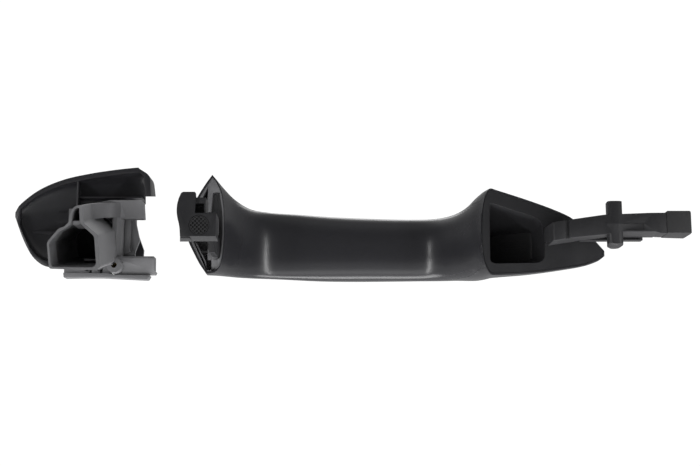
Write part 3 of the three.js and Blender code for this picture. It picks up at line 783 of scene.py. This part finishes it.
@dataclass(frozen=True)
class Screw:
    """A pan-head screw across the door, with a six-sided recess and a threaded shank."""

    centre: Point
    head_depth: float
    shank: float
    length: float
    toward: int
    head_ratio: float = 1.8
    root_ratio: float = 0.84
    pitch: float = 0.7
    thread_start: float = 1.6

    def _turned(self, profile: Sequence[Point]) -> Solid:
        """Turn a profile of (radius, distance down from the head's top) about the screw's axis."""
        return along_depth([(r, self.head_depth + self.toward * h) for r, h in profile], self.centre, 40)

    def build(self, name: str) -> None:
        """Make and dress the screw."""
        head, root = self.shank * self.head_ratio, self.shank * self.root_ratio
        profile = [(0.0, 0.0), (head * 0.55, 0.0), (head * 0.86, 0.15), (head, 0.5), (head, 1.15),
                   (head - 0.1, 1.2), (self.shank, 1.3)]
        for k in range(int((self.length - 2.2) / self.pitch)):
            at = self.thread_start + k * self.pitch
            profile += [(root, at), (self.shank, at + self.pitch / 2)]
        profile += [(root, self.length - 0.5), (self.shank * 0.4, self.length), (0.0, self.length)]
        recess = rod(self.centre, head / 2, self.head_depth - self.toward * 0.5,
                     self.head_depth + self.toward * 0.8, 6)
        self._turned(profile).cut(recess).finish(f"{name}_threaded", Body.HANDLE, ZINC, [name])

    def room(self) -> Solid:
        """Return the room that the head and the shank need."""
        head, shank, end = self.shank * self.head_ratio + 0.2, self.shank + 0.15, self.length + 0.3
        return self._turned([(0.0, -1.0), (head, -1.0), (head, 1.5), (shank, 1.5), (shank, end),
                             (0.0, end)])


FOOT_SCREW_FRONT = Screw((-14.4, -0.4), 0.5, 1.3, 6.5, 1)
FOOT_SCREW_REAR = Screw((-182.4, 2.6), 1.0, 1.3, 7.5, 1)
ARM_SCREW = Screw((-10, -3), -10.2, 1.1, 8, -1)


# ------------------------------------------------------------------ the rear foot and its claw


@dataclass(frozen=True)
class RearFoot:
    """The rear foot's insert and the claw that reaches into the car from it."""

    strap: Strap
    face: float = 0.25
    claw_face: float = -50.0
    claw_back: float = -41.0
    head: tuple[Corner, ...] = (
        (-183.7, 7.1, 1.0), (-185.2, 3.6, 2.2), (-185.8, -1.4, 3.2), (-184.2, -7.4, 2.2),
        (-183.9, -12.2, 0.5), (-169.4, -12.2, 0.4), (-169.4, -1.7, 0.4), (-178, -1.7), (-178, 7.1, 0.5))
    pad_centre: Point = (-176.3, -6.7)
    pad_radius: float = 4.1
    dowel: Point = (-176.1, 3.4)
    dowel_room: float = 1.15

    def build(self) -> None:
        """Make and dress the foot's plate, the claw and its pad, and the screw."""
        self._plate()
        self._claw()
        self._pad()
        FOOT_SCREW_REAR.build("foot_screw_rear")

    def _plate(self) -> None:
        """Make the insert: its face, the channel round the claw's neck and the openings beside it."""
        lip = self.strap.lip + 0.12
        face = self.strap.fill(lip, (-195, self.face, -40), (-170.5, self.strap.seat_depth - 0.2, 40))
        body = self.strap.fill(WALL + 0.2, (-195, 1.5, -40), (-170.5, 10.5, 40))
        channel = across([(-176.9, 17.6, 0.4), (-173.9, 17.8, 0.4), (-172.3, 8.4, 3), (-172.1, -3, 3),
                          (-173.0, -12.2), (-174.2, -13.3, 0.3), (-178.7, -13.3), (-178.7, 8.4, 0.4),
                          (-177.7, 8.6)], -1, 5.8)
        upper = across([(-179.0, 20.4, 0.3), (-180.4, 17.4), (-185.2, 8.0, 0.3), (-179.3, 8.2, 0.3)],
                       -1, 8.6)
        lower = across([(-185.6, -4.2, 0.3), (-177.0, -4.2), (-177.0, -18.2, 0.5), (-179.2, -18.2, 0.4)],
                       -1, 8.6)
        rib = across([(-184.6, -5.4), (-183.9, -5.4), (-179.7, -13.7), (-179.2, -17.0), (-180.0, -14.2)],
                     0.9, 9)
        ledge = block((-184, 4.8, -9.4), (-176.8, 9.0, -8.6))
        pin_seat = block((-178.7, 1, -13.3), (-174, 5.7, 5.4))
        neck_hole = block((-178.4, 0, -6.6), (-174, 5.7, -1.9))
        plate = face.add(body).cut(channel, upper, lower).add(rib, ledge, pin_seat)
        plate.cut(neck_hole, self._dowel_hole())
        plate.keep(self.strap.fill(lip, (-195, self.face, -40), (-170.5, 10.5, 40)))
        plate.cut(self._slant())
        plate.cut(FOOT_SCREW_REAR.room()).flatten().soften(0.28, 2).finish(
            "rear_foot_insert", Body.HANDLE, CARRIER_PAINTED_LIGHT, ["rear_foot_plate"])

    def _dowel_hole(self) -> Solid:
        """Return the room for the dowel that holds the claw's neck in the foot."""
        return post(self.dowel, self.dowel_room, -11.8, 3.8, 40)

    def _slant(self) -> Solid:
        """Return the cutter that turns the lower right of the foot's face down and outwards."""
        wedge = block((-20, -20, -20), (20, 0, 20))
        out, down = math.radians(-17), math.radians(12)
        wedge.turn(Matrix.Rotation(out, 4, "Z") @ Matrix.Rotation(down, 4, "X"))
        wedge.move(-176.6, self.face + 0.1, -9.5)
        return wedge.keep(block((-177.0, -9, -30), (-165, 9, -3.6)))

    def _claw(self) -> None:
        """Make the claw: its cross head, the stepped neck and the flare at its root."""
        face, back = self.claw_face, self.claw_back
        head = across(self.head, face, back)
        underside = over_ends([(face - 1, -11.3), (face - 1, -14), (back + 1, -14), (back + 1, -12.05)],
                              -190, -165)
        thinning = over_ends([(face + 2.6, 9), (face + 2.6, 6.0), (back + 0.5, 2.6), (back + 0.5, 9)],
                             -190, -177.9)
        heel = upright([(-183.9, face + 0.6), (-185.2, back), (-180, back), (-180, face + 0.6)],
                       -12.1, -9.0)
        bar = block((-178.2, face + 1.2, -6), (-173.9, back + 1, 4.9))
        neck = block((-178.2, back - 3, -6.4), (-174.2, 5.4, -2.1))
        window = across([(-178.1, -1.5), (-174.5, -1.5), (-174.5, 2.6, 0.3), (-178.1, 2.6, 0.3)],
                        face - 1, face + 6)
        flare = upright([(-176.5, -12), (-174.2, -12), (-174.0, -2, 2), (-173.4, -0.6), (-173.4, 0.6),
                         (-176.5, 0.6)], -11.9, -4)
        seat = rod(self.pad_centre, self.pad_radius + 0.12, face - 1, face + 0.7)
        root = block((-178.2, -2.5, -9), (-174.2, 0.6, 5))
        claw = head.cut(underside, thinning).add(heel, bar, neck, flare, root)
        claw.cut(window, seat, self._dowel_hole())
        claw.flatten().soften(0.35, 3).finish("claw_moulding", Body.HANDLE, MOULDED, ["claw_hook"])

    def _pad(self) -> None:
        """Make the round pad and its ribs, which cross each other at right angles."""
        face = self.claw_face + 0.6
        x, z = self.pad_centre
        r = self.pad_radius
        pad = along_depth([(0, face), (r - 0.55, face), (r - 0.5, face - 0.4), (r - 0.12, face - 0.4),
                           (r, face - 0.25), (r, face + 0.25), (0, face + 0.25)], self.pad_centre)
        pad.finish("claw_pad_disc", Body.HANDLE, RUBBER, ["claw_buffer"])
        ribs = None
        for angle in (math.radians(45), math.radians(-45)):
            row = RibField(6, 1.18, 2 * r, 0.36, 1.1, r - 0.5).made(RUBBER)
            row.turn(Matrix.Rotation(math.pi / 2, 4, "X") @ Matrix.Rotation(angle, 4, "Z"))
            row.move(x, face, z)
            ribs = row if ribs is None else ribs.add(row)
        ribs.finish("claw_pad_ribs", Body.HANDLE, RUBBER, [])


# ------------------------------------------------------------------ the front foot and the hinge arm


@dataclass(frozen=True)
class FrontFoot:
    """The front foot's insert, with its open pocket."""

    strap: Strap
    mouth: tuple[Corner, ...] = (
        (-51.9, 13.3, 0.8), (-30.4, 6.2, 2.2), (-28.0, 3.4, 1.4), (-27.0, -5.8, 2.0), (-27.1, -13.2, 2.2),
        (-29.6, -15.0, 1.6), (-50.6, -15.3, 1.6), (-52.0, -13.8, 1.0))
    floor: tuple[Corner, ...] = (
        (-49.4, 1.2, 0.5), (-32.0, 1.6, 0.5), (-31.0, 0.8, 0.5), (-30.9, -5.0, 1.2), (-31.0, -10.8, 0.8),
        (-31.8, -11.6, 0.6), (-48.6, -12.2, 0.6), (-49.4, -11.4, 0.6))
    floor_drop: float = 6.4
    ridges_at: float = -40.3

    def build(self) -> None:
        """Make and dress the insert, the ridges on its pocket's floor and the screw."""
        lip = self.strap.lip + 0.12
        face = self.strap.fill(lip, (-60, 0, -40), (10, self.strap.seat_depth - 0.2, 40))
        room = self.strap.fill(WALL + 0.2, (-60, 1.5, -40), (10, 40, 40))
        walls = self._pocket(1.6, 1.8).keep(self.strap.fill(WALL + 0.2, (-60, 0.9, -40), (10, 40, 40)))
        arm_block = across([(-29, -11), (-12, -11), (-12, 2), (-29, 2)], 1, 9.5)
        boss = rod(FOOT_SCREW_FRONT.centre, 3.4, 1, 8.4, 48)
        socket = HingeArm().root_form(0.15, -1.0, 6.3)
        inside = arm_block.add(boss).keep(room)
        plate = face.add(walls, inside).cut(self._pocket(0, 0), socket, FOOT_SCREW_FRONT.room())
        plate.flatten().soften(0.3, 3, 25).finish("front_foot_insert", Body.HANDLE, MOULDED,
                                                  ["front_foot_plate"])
        ridges = RibField(9, 1.15, 14.5, 0.16, 0.16).made(MOULDED)
        slope = (self._floor_depth(-33) - self._floor_depth(-48)) / 15
        ridges.turn(Matrix.Rotation(math.atan(slope), 4, "Z") @ Matrix.Rotation(math.pi / 2, 4, "X"))
        ridges.move(self.ridges_at, self._floor_depth(self.ridges_at), -6.4)
        ridges.finish("pocket_floor_ridges", Body.HANDLE, MOULDED, [])
        FOOT_SCREW_FRONT.build("foot_screw_front")

    def _floor_depth(self, x: float) -> float:
        """Return the depth of the pocket's floor at a station."""
        return self.strap.outer(x) - self.floor_drop

    def _pocket(self, grow: float, extra: float) -> Solid:
        """Return the pocket's space, or with a grow the material round it."""
        mouth = grown(rounded(self.mouth, 8), grow)
        floor = grown(rounded(self.floor, 8), grow)
        top = [(x, 0.9 if extra else -1.0, z) for x, z in mouth]
        bottom = [(x, self._floor_depth(x) + extra, z) for x, z in floor]
        return loft([top, bottom])


@dataclass(frozen=True)
class HingeArm:
    """The arm that hangs the handle on its pin, with its spring leaf, end sleeve and screw."""

    face: float = -24.0
    back: float = -13.0
    root: float = -27.5
    root_width: float = 9.7
    pin: Point = (0.0, -18.0)
    pin_radius: float = 1.6
    bore: float = 1.95
    front: tuple[Corner, ...] = (
        (-27.5, -0.8), (-22, 0.1), (-12, 1.6, 3), (-5, 2.6, 2), (15.3, 3.4, 3), (21.4, 3.4),
        (21.4, 2.6, 0.4),
        (30.4, 2.6, 0.8), (30.4, -4.4, 0.8), (21.4, -4.4, 0.4), (21.4, -5.5), (18.6, -5.4, 0.5),
        (16.4, -4.7, 0.6), (2.1, -4.7), (-5.3, -6, 3), (-20.7, -7.5, 2), (-27.5, -8.7))

    def build(self) -> None:
        """Make and dress the arm and everything on it."""
        self._arm()
        self._leaf()
        self._sleeve()
        ARM_SCREW.build("arm_screw")
        r = self.pin_radius
        along_height([(0, -9.3), (r - 0.3, -9.3), (r, -9.0), (r, 8.9), (r - 0.3, 9.2), (0, 9.2)],
                     self.pin).finish("hinge_pin_turned", Body.PIVOT, ZINC, ["hinge_pin"])

    def root_form(self, grow: float, near: float, far: float) -> Solid:
        """Return the arm's root, or its socket, which rises as it goes into the foot.

        Args:
            grow: How much wider than the root it is.
            near: Its end on the door side.
            far: Its end inside the foot.

        Returns:
            The solid.
        """
        left, right = self.root, self.root + self.root_width
        rings = []
        for depth in (near, far):
            rise = (depth - self.face) / -self.face
            low, high = -8.7 + 2.9 * rise, -0.8 + 1.6 * rise
            corners = [(left, low), (right, low + 1.3), (right, high + 1.2), (left, high)]
            rings.append([(x, depth, z) for x, z in grown(corners, grow)])
        return loft(rings)

    def _arm(self) -> None:
        """Make the arm with its root, cross boss and grooves."""
        face, back = self.face, self.back
        x, depth = self.pin
        front = across(self.front, -THROUGH, THROUGH)
        side = upright([(self.root, face, 1.2), (21.4, face), (21.4, face + 1.6), (30.4, face + 1.6),
                        (30.4, back - 1.6), (21.4, back - 1.6), (21.4, back), (-14, back, 1.6),
                        (-17.8, back + 3), (self.root, back + 3)], -THROUGH, THROUGH)
        boss = upright([(-3.6, face - 0.15, 2.2), (2.7, face - 0.15, 2.2), (3.3, -18, 1.5),
                        (2.4, -14.4, 1.5), (-2.4, -14.4, 1.5), (-3.3, -18, 1.5)], -11.2, 8.6)
        tip = turned([(0, -11.4), (1.9, -11.3), (2.5, -10.9), (5.6, -8.8), (6.4, -8), (6.4, 12), (0, 12)],
                     lambda u, v, h: (x + u - 0.3, depth + v * 1.35 - 1.2, h))
        groove = block((-22.1, face - 1, -20), (-20.5, face + 0.7, 20))
        line = block((-4.4, face - 0.16, -1.5), (11.9, face + 0.5, -1.28))
        keel = over_ends([(face + 0.3, -4.0), (face + 0.3, -4.75), (back - 0.2, -5.6), (back - 0.2, -4.0)],
                         2.2, 17.8)
        panel = across([(3.6, -1.1, 0.2), (11.6, -1.1, 0.4), (11.9, -4.1, 0.4), (3.6, -4.1, 0.2)],
                       face - 1, face + 0.3)
        weight = block((-2.5, back - 3.2, -2.6), (16, back + 1, 1.4))
        bore = post(self.pin, self.bore, -9.6, 20)
        arm = front.keep(side).add(self.root_form(0.0, face + 1.0, 6.0), keel).cut(groove, panel)
        arm.add(boss.keep(tip), line).cut(bore, weight, ARM_SCREW.room())
        arm.flatten().soften(0.32, 3).finish("hinge_arm_moulding", Body.HANDLE, MOULDED, ["hinge_arm"])

    def _leaf(self) -> None:
        """Make the bent strip that keeps the arm from rattling."""
        y = self.back + 0.25
        foot = across([(-13.4, -6.5), (-6.6, -6.5), (-6.6, 0.4, 1), (-13.4, -0.6, 1)], y, y + 0.8)
        tongue = block((-13.4, y, -6.7), (13.6, y + 4.2, -6.0))
        back = block((-13.4, y + 3.4, -6.6), (12.6, y + 4.2, -3.4))
        hook = block((12.0, y, -6.4), (13.6, y + 2.4, -5.2))
        hole = rod(ARM_SCREW.centre, 1.4, y - 1, y + 2, 40)
        foot.add(tongue, back, hook).cut(hole).flatten().soften(0.18, 2).finish(
            "arm_leaf_strip", Body.HANDLE, MOULDED, ["arm_leaf_spring"])

    def _sleeve(self) -> None:
        """Make the rubber sleeve over the arm's end."""
        face, back = self.face, self.back
        outer = across([(21.6, 4.2, 0.5), (32, 4.2, 0.9), (32, -6, 0.9), (21.6, -5.7, 0.5)],
                       face - 0.2, back + 0.2)
        corner = upright([(31.0, face - 1), (34, face - 1), (34, face + 1.4)], -THROUGH, THROUGH)
        lower = over_ends([(face - 1, -5.2), (face - 1, -8), (back + 1, -8)], 15, 40)
        cavity = block((20.8, face + 1.4, -4.6), (30.7, back - 1.4, 2.8))
        outer.cut(corner, lower, cavity).flatten().soften(0.5, 3).finish(
            "arm_end_sleeve", Body.HANDLE, RUBBER, ["arm_end_buffer"])


# ------------------------------------------------------------------ the end cap


@dataclass(frozen=True)
class EndCap:
    """The separate end cap: its bowl, the lock carrier, the snap clip, the insert and the lower rail."""

    outer: Guide = Guide(((-268, 3), (-262, 5.6), (-250, 9.4), (-235, 12.6), (-218, 14.8), (-200, 16)))
    top: Guide = Guide(((-265.8, 8.2), (-264, 11.6), (-255.5, 18.5), (-244.7, 23.3), (-232.8, 26.1),
                        (-222, 27.8), (-212, 28.9), (-200, 29.6)))
    bottom: Guide = Guide(((-265.8, 6.2), (-262, -3.4), (-257.8, -11.1), (-253.4, -15.3), (-249.6, -16.6),
                           (-240, -17.6), (-222, -19.2), (-200, -20.6)))
    edge: Guide = Guide(((-40, -201.6), (-19.4, -202.4), (-15, -205.2), (-9.6, -208.4), (-3.4, -211),
                         (2, -212.9), (7.4, -213.5), (11.4, -212.4), (15.1, -209.6)))
    corner: tuple[Corner, ...] = ((-211.6, 40), (-211.3, 29.0, 1.4), (-205.6, 25.4, 2.0), (-204.7, 14.0))
    tip: float = -265.8
    wall: float = 2.3
    squareness: float = 2.6
    tower: tuple[Corner, ...] = (
        (-239.2, -23.3, 1.2), (-240.6, -12.2, 1.2), (-236, -6.4, 1), (-233.6, -5.6, 0.6),
        (-231.8, -3.6, 1.0), (-231.3, 0.6, 1.6), (-229.6, 3.2, 1.4), (-226.6, 3.6, 0.4),
        (-225.8, -3.9, 1.2), (-219.5, -9.0, 1.0), (-218.1, -22.6, 0.6), (-219.4, -23.9, 0.8))
    bore: tuple[Corner, ...] = (
        (-238.2, -22.4, 1.2), (-239.5, -12.6, 1.0), (-235.4, -7.5, 0.8), (-233.2, -6.5, 0.5),
        (-230.7, -4.4, 0.8), (-230.2, 0.6, 1.2), (-229.2, 2.2, 0.6), (-227.9, 2.2, 0.3),
        (-227.4, -4.2, 1.0), (-221.2, -9.8, 1.0), (-220.0, -21.4, 0.8), (-221.0, -22.6, 0.8))
    mouth: float = -40.0
    lean: float = 0.235
    tab: float = -7.0
    tab_slope: float = 0.42
    boss: Point = (-218.4, -17.3)
    bowl_ribs: tuple[tuple[Corner, Corner], ...] = (
        ((-238.7, 1.4, 11.0), (-238.0, 20, 28)), ((-238.5, 3.4, 15.5), (-209, 20, 16.2)),
        ((-263, 4.4, -0.35), (-243.6, 20, 0.35)), ((-259, 7.2, 5.2), (-242, 20, 9.6)),
        ((-262, 6.2, -14), (-244, 20, -6.2)))

    def build(self) -> None:
        """Make and dress each piece of the cap."""
        self._cover()
        self._carrier()
        self._clip()
        self._insert()
        self._rail()

    def form(self, inset: float, step: float = 1.0, count: int = 112) -> Solid:
        """Return the bowl's full form, drawn in by an inset."""
        start = self.tip + inset
        near = [start, start + 0.35, start + 0.8]
        stations = near + spread(start + 1.5, -198, int((-198 - start) / step))
        rings = [Section(1.5 - self.outer(x), self.outer(x) - inset, self.bottom(x) + inset,
                         self.top(x) - inset, self.squareness).ring(x, count) for x in stations]
        return loft(rings).cut(car_side())

    def _open_side(self, wall: float) -> Solid:
        """Return the region left of the cap's corner wall, open below the corner."""
        corner = [(u - wall, *rest) for u, *rest in self.corner]
        return across([*corner[:-1], (corner[-1][0], 14.6), (-208.6, 14.6), (-208.6, 11.3), (-150, 11.3),
                       (-150, -40), (-300, -40), (-300, 40)], -THROUGH, THROUGH)

    def _cover(self) -> None:
        """Make the painted bowl with its ribs."""
        edge = [(x, z) for z, x in along(self.edge, 15.1, -40, 60)]
        outline = across([*self.corner, *edge, (-300, -40), (-300, 40)], -THROUGH, THROUGH)
        hollow = self.form(self.wall).opened().keep(self._open_side(2.6))
        room = self.form(self.wall - 0.4).keep(self._open_side(2.2))
        under_corner = over_ends([(-1, 15.4), (40, 23.6), (40, -40), (-1, -40)], -209.6, -150)
        bowl = self.form(0).cut(hollow)
        for low, high in self.bowl_ribs:
            bowl.add(block(low, high).keep(room.copy()))
        bpy.data.objects.remove(room.item)
        bowl.keep(outline).cut(under_corner).flatten(0.05).soften(0.25, 2, 40).finish(
            "cap_bowl_skin", Body.END_CAP, OUTER_SATIN, ["cap_cover"])

    def _leaning(self, corners: Sequence[Corner], near: float, far: float, lips: float = 0.0) -> Solid:
        """Extrude an (x, z) outline between two depths, leaning up as it goes in.

        Args:
            corners: The outline at the tower's mouth.
            near: First depth.
            far: Second depth.
            lips: How much wider the outline is at the first depth.

        Returns:
            The solid.
        """
        points = rounded(corners, 8)
        depths = [near, near + 1.2, far] if lips else [near, far]
        rings = []
        for depth in depths:
            ring = grown(points, lips if depth == near else 0.0)
            rings.append([(x, depth, z) for x, z in ring])
        return self._lean(loft(rings))

    def _lean(self, solid: Solid) -> Solid:
        """Lean a solid up as it goes in from the tower's mouth."""
        shear = Matrix.Identity(4)
        shear[2][1] = self.lean
        shear[2][3] = -self.lean * self.mouth
        return solid.turn(shear)

    def _room(self) -> Solid:
        """Return the room that the carrier may fill: the door side, and inside the bowl."""
        return self.form(self.wall + 0.2, 1.6, 72).opened().add(
            block((-300, -THROUGH, -40), (-150, -0.35, 40)))

    def _carrier(self) -> None:
        """Make the lock carrier: leaning tower, back plate, two tabs and screw boss."""
        back_plate = across([(-243, 11), (-243, -12), (-240, -15.5), (-212.2, -16.5), (-212.2, 11)],
                            5.6, 7.2)
        upper = across([(-226, 5.4), (-224, 4.6), (-206.6, 4.4, 0.5), (-207.3, 12.4, 0.6), (-222, 12.4),
                        (-226, 11.6, 1)], self.tab, -0.9)
        upper.cut(self._slant(4.4, 12.4))
        lower = across([(-219, -12.8), (-201.5, -12.8, 0.4), (-201.4, -19), (-200.7, -19.6, 0.2),
                        (-201.2, -20.7), (-219, -20.7)], self.tab, -0.9)
        lower.cut(self._slant(-20.7, -14.2), over_ends(
            [(self.tab - 1, -12), (self.tab - 1, -14.6), (self.tab + 1.6, -12)], -225, -195))
        upper_web = across([(-226, 6.6), (-214.6, 6.6), (-214.6, 11.6), (-226, 11.6)], -2, 7.2)
        lower_web = across([(-219, -14), (-212.4, -14), (-212.4, -17), (-219, -17)], -2, 7.2)
        shoulder = self._lean(upright([(-228, -30), (-225.4, -19, 6), (-221.8, self.tab + 0.4, 4),
                                       (-217, self.tab + 0.4), (-214, -1), (-228, -1)], -3.2, 3.5))
        tube = rod(self.boss, 3.3, -10.4, -1)
        side_web = upright([(-220.5, -6), (-218.4, -6, 0.4), (-217.3, -3.4, 1), (-216.4, -3.0, 0.5),
                            (-216.2, -0.9), (-220.5, -0.9)], -15.2, 7)
        bore = self._leaning(self.bore, self.mouth - 0.2, 20, 0.25)
        insert_bore = along_depth([(0, -12), (1.25, -12), (1.25, -6.6), (2.1, -6.6), (2.1, -2.4),
                                   (0, -2.4)], self.boss)
        channel_web = block((-230.4, self.mouth + 0.9, -4.4), (-227.2, -28, -3.0))
        ledge = block((-229, self.mouth + 18, -17.2), (-219, self.mouth + 30, -16.4))
        carrier = self._leaning(self.tower, self.mouth, 7.2)
        carrier.add(back_plate, upper, lower, upper_web, lower_web, shoulder, tube, side_web)
        carrier.cut(bore, insert_bore).add(channel_web, ledge).keep(self._room())
        carrier.flatten().soften(0.3, 3, 28).finish("lock_carrier_moulding", Body.END_CAP, CARRIER_PAINTED_LIGHT,
                                                    ["lock_carrier"])

    def _slant(self, low: float, high: float) -> Solid:
        """Return the cutter that turns a tab's face down, between its two edges."""
        drop = (high - low) * self.tab_slope
        return over_ends([(self.tab - 1, high), (self.tab, high), (self.tab + drop, low),
                          (self.tab + drop + 0.2, low - 1.2), (self.tab - 1, low - 1.2)], -222, -195)

    def _clip(self) -> None:
        """Make the snap clip with its slot."""
        plate = across([(-217.6, 6, 0.4), (-211.9, 6, 0.4), (-209.4, -4.4, 0.8), (-211.2, -9.4, 0.6),
                        (-211.4, -11, 0.4), (-217.6, -11, 0.4)], 1, 2.6)
        slot = across([(-213.6, 4.6, 0.3), (-213.0, 4.6, 0.3), (-213.0, -5.2), (-212.4, -7.6, 0.6),
                       (-212.8, -9.8, 0.3), (-213.7, -9.8, 0.3), (-214.2, -7.6, 0.6), (-213.6, -5.2)], 0, 4)
        crease = upright([(-218, 0), (-217.0, 0), (-216.6, 1.4), (-216.2, 0.9), (-215.6, 0)], -12, 7)
        foot = block((-217.6, 2, -8), (-216.2, 5.2, 3))
        plate.cut(slot, crease).add(foot).flatten().soften(0.22, 2).finish(
            "cap_clip_moulding", Body.END_CAP, CARRIER_PAINTED_LIGHT, ["cap_clip"])

    def _insert(self) -> None:
        """Make the threaded sleeve with a knurled outside."""
        ring = [(1.0, -6.4), (1.7, -6.4), (1.95, -6.1)]
        for k in range(4):
            ring += [(1.95, -5.9 + k * 0.75), (1.8, -5.7 + k * 0.75), (1.95, -5.5 + k * 0.75)]
        ring += [(1.95, -2.6), (1.0, -2.6)]
        sleeve = along_depth([(0, ring[0][1]), *ring[1:-1], (0, ring[-1][1])], self.boss, 48)
        sleeve.cut(rod(self.boss, 1.0, -12, 0, 48)).finish("fixing_insert_turned", Body.END_CAP, BRASS,
                                                           ["fixing_insert"])

    def _rail(self) -> None:
        """Make the lower rail, its web with openings and its gussets."""
        rail = across([(-241.6, -20.2), (-241.3, -22.3, 0.5), (-226.6, -22.0, 6), (-204.2, -23.2, 0.7),
                       (-203.2, -21.2, 0.4), (-218.7, -21.0), (-222, -20.4)], -6, -1.2)
        web = across([(-241.6, -20.4), (-241.6, -16.6), (-219.8, -16.2), (-219.8, -21)], -4.6, -3.4)
        for opening in (((-232.6, -18.7), (-229.3, -18.7), (-229.2, -20.7)),
                        ((-226.8, -19.0), (-224.4, -17.9), (-224.4, -20.7))):
            web.cut(across(opening, -8, -2.6))
        back = across([(-241.6, -22), (-241.6, -16.8), (-219.8, -16.4), (-219.4, -22.2)], -2.2, -1.2)
        gussets = RibField(5, 4.6, 2.4, 1.0, 3.2).made(MOULDED)
        gussets.turn(Matrix.Rotation(math.pi / 2, 4, "Z"))
        gussets.move(-230.8, -2.7, -20.4)
        rail.add(web, back, gussets).cut(rod(self.boss, 3.5, -12, 0)).flatten().soften(0.25, 2).finish(
            "cap_rail_moulding", Body.END_CAP, CARRIER_PAINTED_LIGHT, ["cap_lower_rail"])


# ------------------------------------------------------------------ the studio


@dataclass(frozen=True)
class Lamp:
    """An area light that faces the handle. Its place is measured from the camera's target."""

    name: str
    place: tuple[float, float, float]
    size: Point
    watts: float

    def hang(self, target: Vector) -> None:
        """Add the light to the scene."""
        data = bpy.data.lights.new(self.name, "AREA")
        data.shape = "RECTANGLE"
        data.size, data.size_y = self.size
        data.energy = self.watts
        lamp = bpy.data.objects.new(self.name, data)
        bpy.context.scene.collection.objects.link(lamp)
        lamp.location = target + Vector(self.place)
        lamp.rotation_euler = (-Vector(self.place)).to_track_quat("-Z", "Y").to_euler()
        lamp.visible_camera = False


LAMPS = (Lamp("key_under_front", (0.0, -0.40, -0.42), (0.70, 0.22), 0.55),
         Lamp("key_below", (0.0, 0.0, -0.52), (0.90, 0.20), 3.8),
         Lamp("strip_right", (0.50, -0.38, -0.19), (0.05, 0.70), 1.9),
         Lamp("strip_left", (-0.50, -0.38, -0.19), (0.05, 0.70), 1.9),
         Lamp("soft_behind", (0.10, 0.55, 0.70), (0.90, 0.50), 3.0))


@dataclass(frozen=True)
class Stage:
    """The camera, the floor, the lights and the soft glow of the room."""

    target: tuple[float, float, float] = (-0.11474, 0.018, -0.001245)
    distance: float = 0.53
    elevation: float = -10.0
    lens: float = 60.57
    floor_z: float = -0.55
    floor_half: float = 3.0
    front_glow: float = 0.09
    back_glow: float = 0.30
    glow_span: Point = (-0.35, 0.45)
    top_share: float = 5.0
    top_span: Point = (0.45, 0.85)
    backdrop: float = 1.05

    def build(self) -> None:
        """Set up the camera, floor, lights and backdrop."""
        scene = bpy.context.scene
        scene.view_settings.view_transform = "Standard"
        self._camera(scene)
        self._floor()
        for lamp in LAMPS:
            lamp.hang(Vector(self.target))
        self._world(scene)

    def _camera(self, scene: bpy.types.Scene) -> None:
        """Aim the camera from below at the door side."""
        data = bpy.data.cameras.new("camera")
        data.lens = self.lens
        data.sensor_width = 36.0
        data.clip_start = 0.01
        camera = bpy.data.objects.new("camera", data)
        scene.collection.objects.link(camera)
        tilt = math.radians(self.elevation)
        target = Vector(self.target)
        camera.location = target + Vector((0, -math.cos(tilt), math.sin(tilt))) * self.distance
        camera.rotation_euler = (target - camera.location).to_track_quat("-Z", "Y").to_euler()
        scene.camera = camera

    def _floor(self) -> None:
        """Lay the pale floor."""
        half = self.floor_half
        mesh = bpy.data.meshes.new("floor")
        mesh.from_pydata([(x, y, self.floor_z) for x, y in (
            (-half, -half), (half, -half), (half, half), (-half, half))], [], [(0, 1, 2, 3)])
        floor = bpy.data.objects.new("floor", mesh)
        bpy.context.scene.collection.objects.link(floor)
        material = bpy.data.materials.new("floor_white")
        material.use_nodes = True
        shader = material.node_tree.nodes["Principled BSDF"]
        shader.inputs["Base Color"].default_value = (0.9, 0.9, 0.9, 1)
        shader.inputs["Roughness"].default_value = 0.9
        mesh.materials.append(material)

    def _world(self, scene: bpy.types.Scene) -> None:
        """Let the room glow, more from behind and from high up, and show it white to the camera."""
        world = bpy.data.worlds.new("studio")
        scene.world = world
        world.use_nodes = True
        tree = world.node_tree
        tree.nodes.clear()
        kit = NodeKit(tree)
        seen = kit.node("ShaderNodeLightPath").outputs["Is Camera Ray"]
        way = kit.node("ShaderNodeTexCoord").outputs["Generated"]
        away = kit.node("ShaderNodeSeparateXYZ", {}, {0: way})
        behind = kit.rise(away.outputs["Y"], self.glow_span, self.front_glow, self.back_glow)
        glow = behind * kit.rise(away.outputs["Z"], self.top_span, 1.0, self.top_share)
        soft = kit.node("ShaderNodeBackground", {}, {"Color": (1, 1, 1, 1), "Strength": glow})
        white = kit.node("ShaderNodeBackground", {}, {"Color": (1, 1, 1, 1), "Strength": self.backdrop})
        both = kit.node("ShaderNodeMixShader", {}, {0: seen, 1: soft.outputs[0], 2: white.outputs[0]})
        kit.node("ShaderNodeOutputWorld", {}, {"Surface": both.outputs[0]})


def dress_frame_nodes() -> None:
    """Give each frame node that no piece replaces the finish of its slot."""
    slots = {entry["node"]: entry["material_slot"] for entry in frame["record"]["subparts"]}
    for name, node in frame["nodes"].items():
        for entry in node.material_slots:
            entry.material = FINISHES[slots[name]].material()


def main() -> None:
    """Build the handle piece by piece, then the stage."""
    logging.basicConfig(level=logging.INFO, format="%(message)s")
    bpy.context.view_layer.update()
    strap = Strap()
    strap.build()
    RearFoot(strap).build()
    FrontFoot(strap).build()
    HingeArm().build()
    EndCap().build()
    Stage().build()
    dress_frame_nodes()


if __name__ == "__main__":
    main()
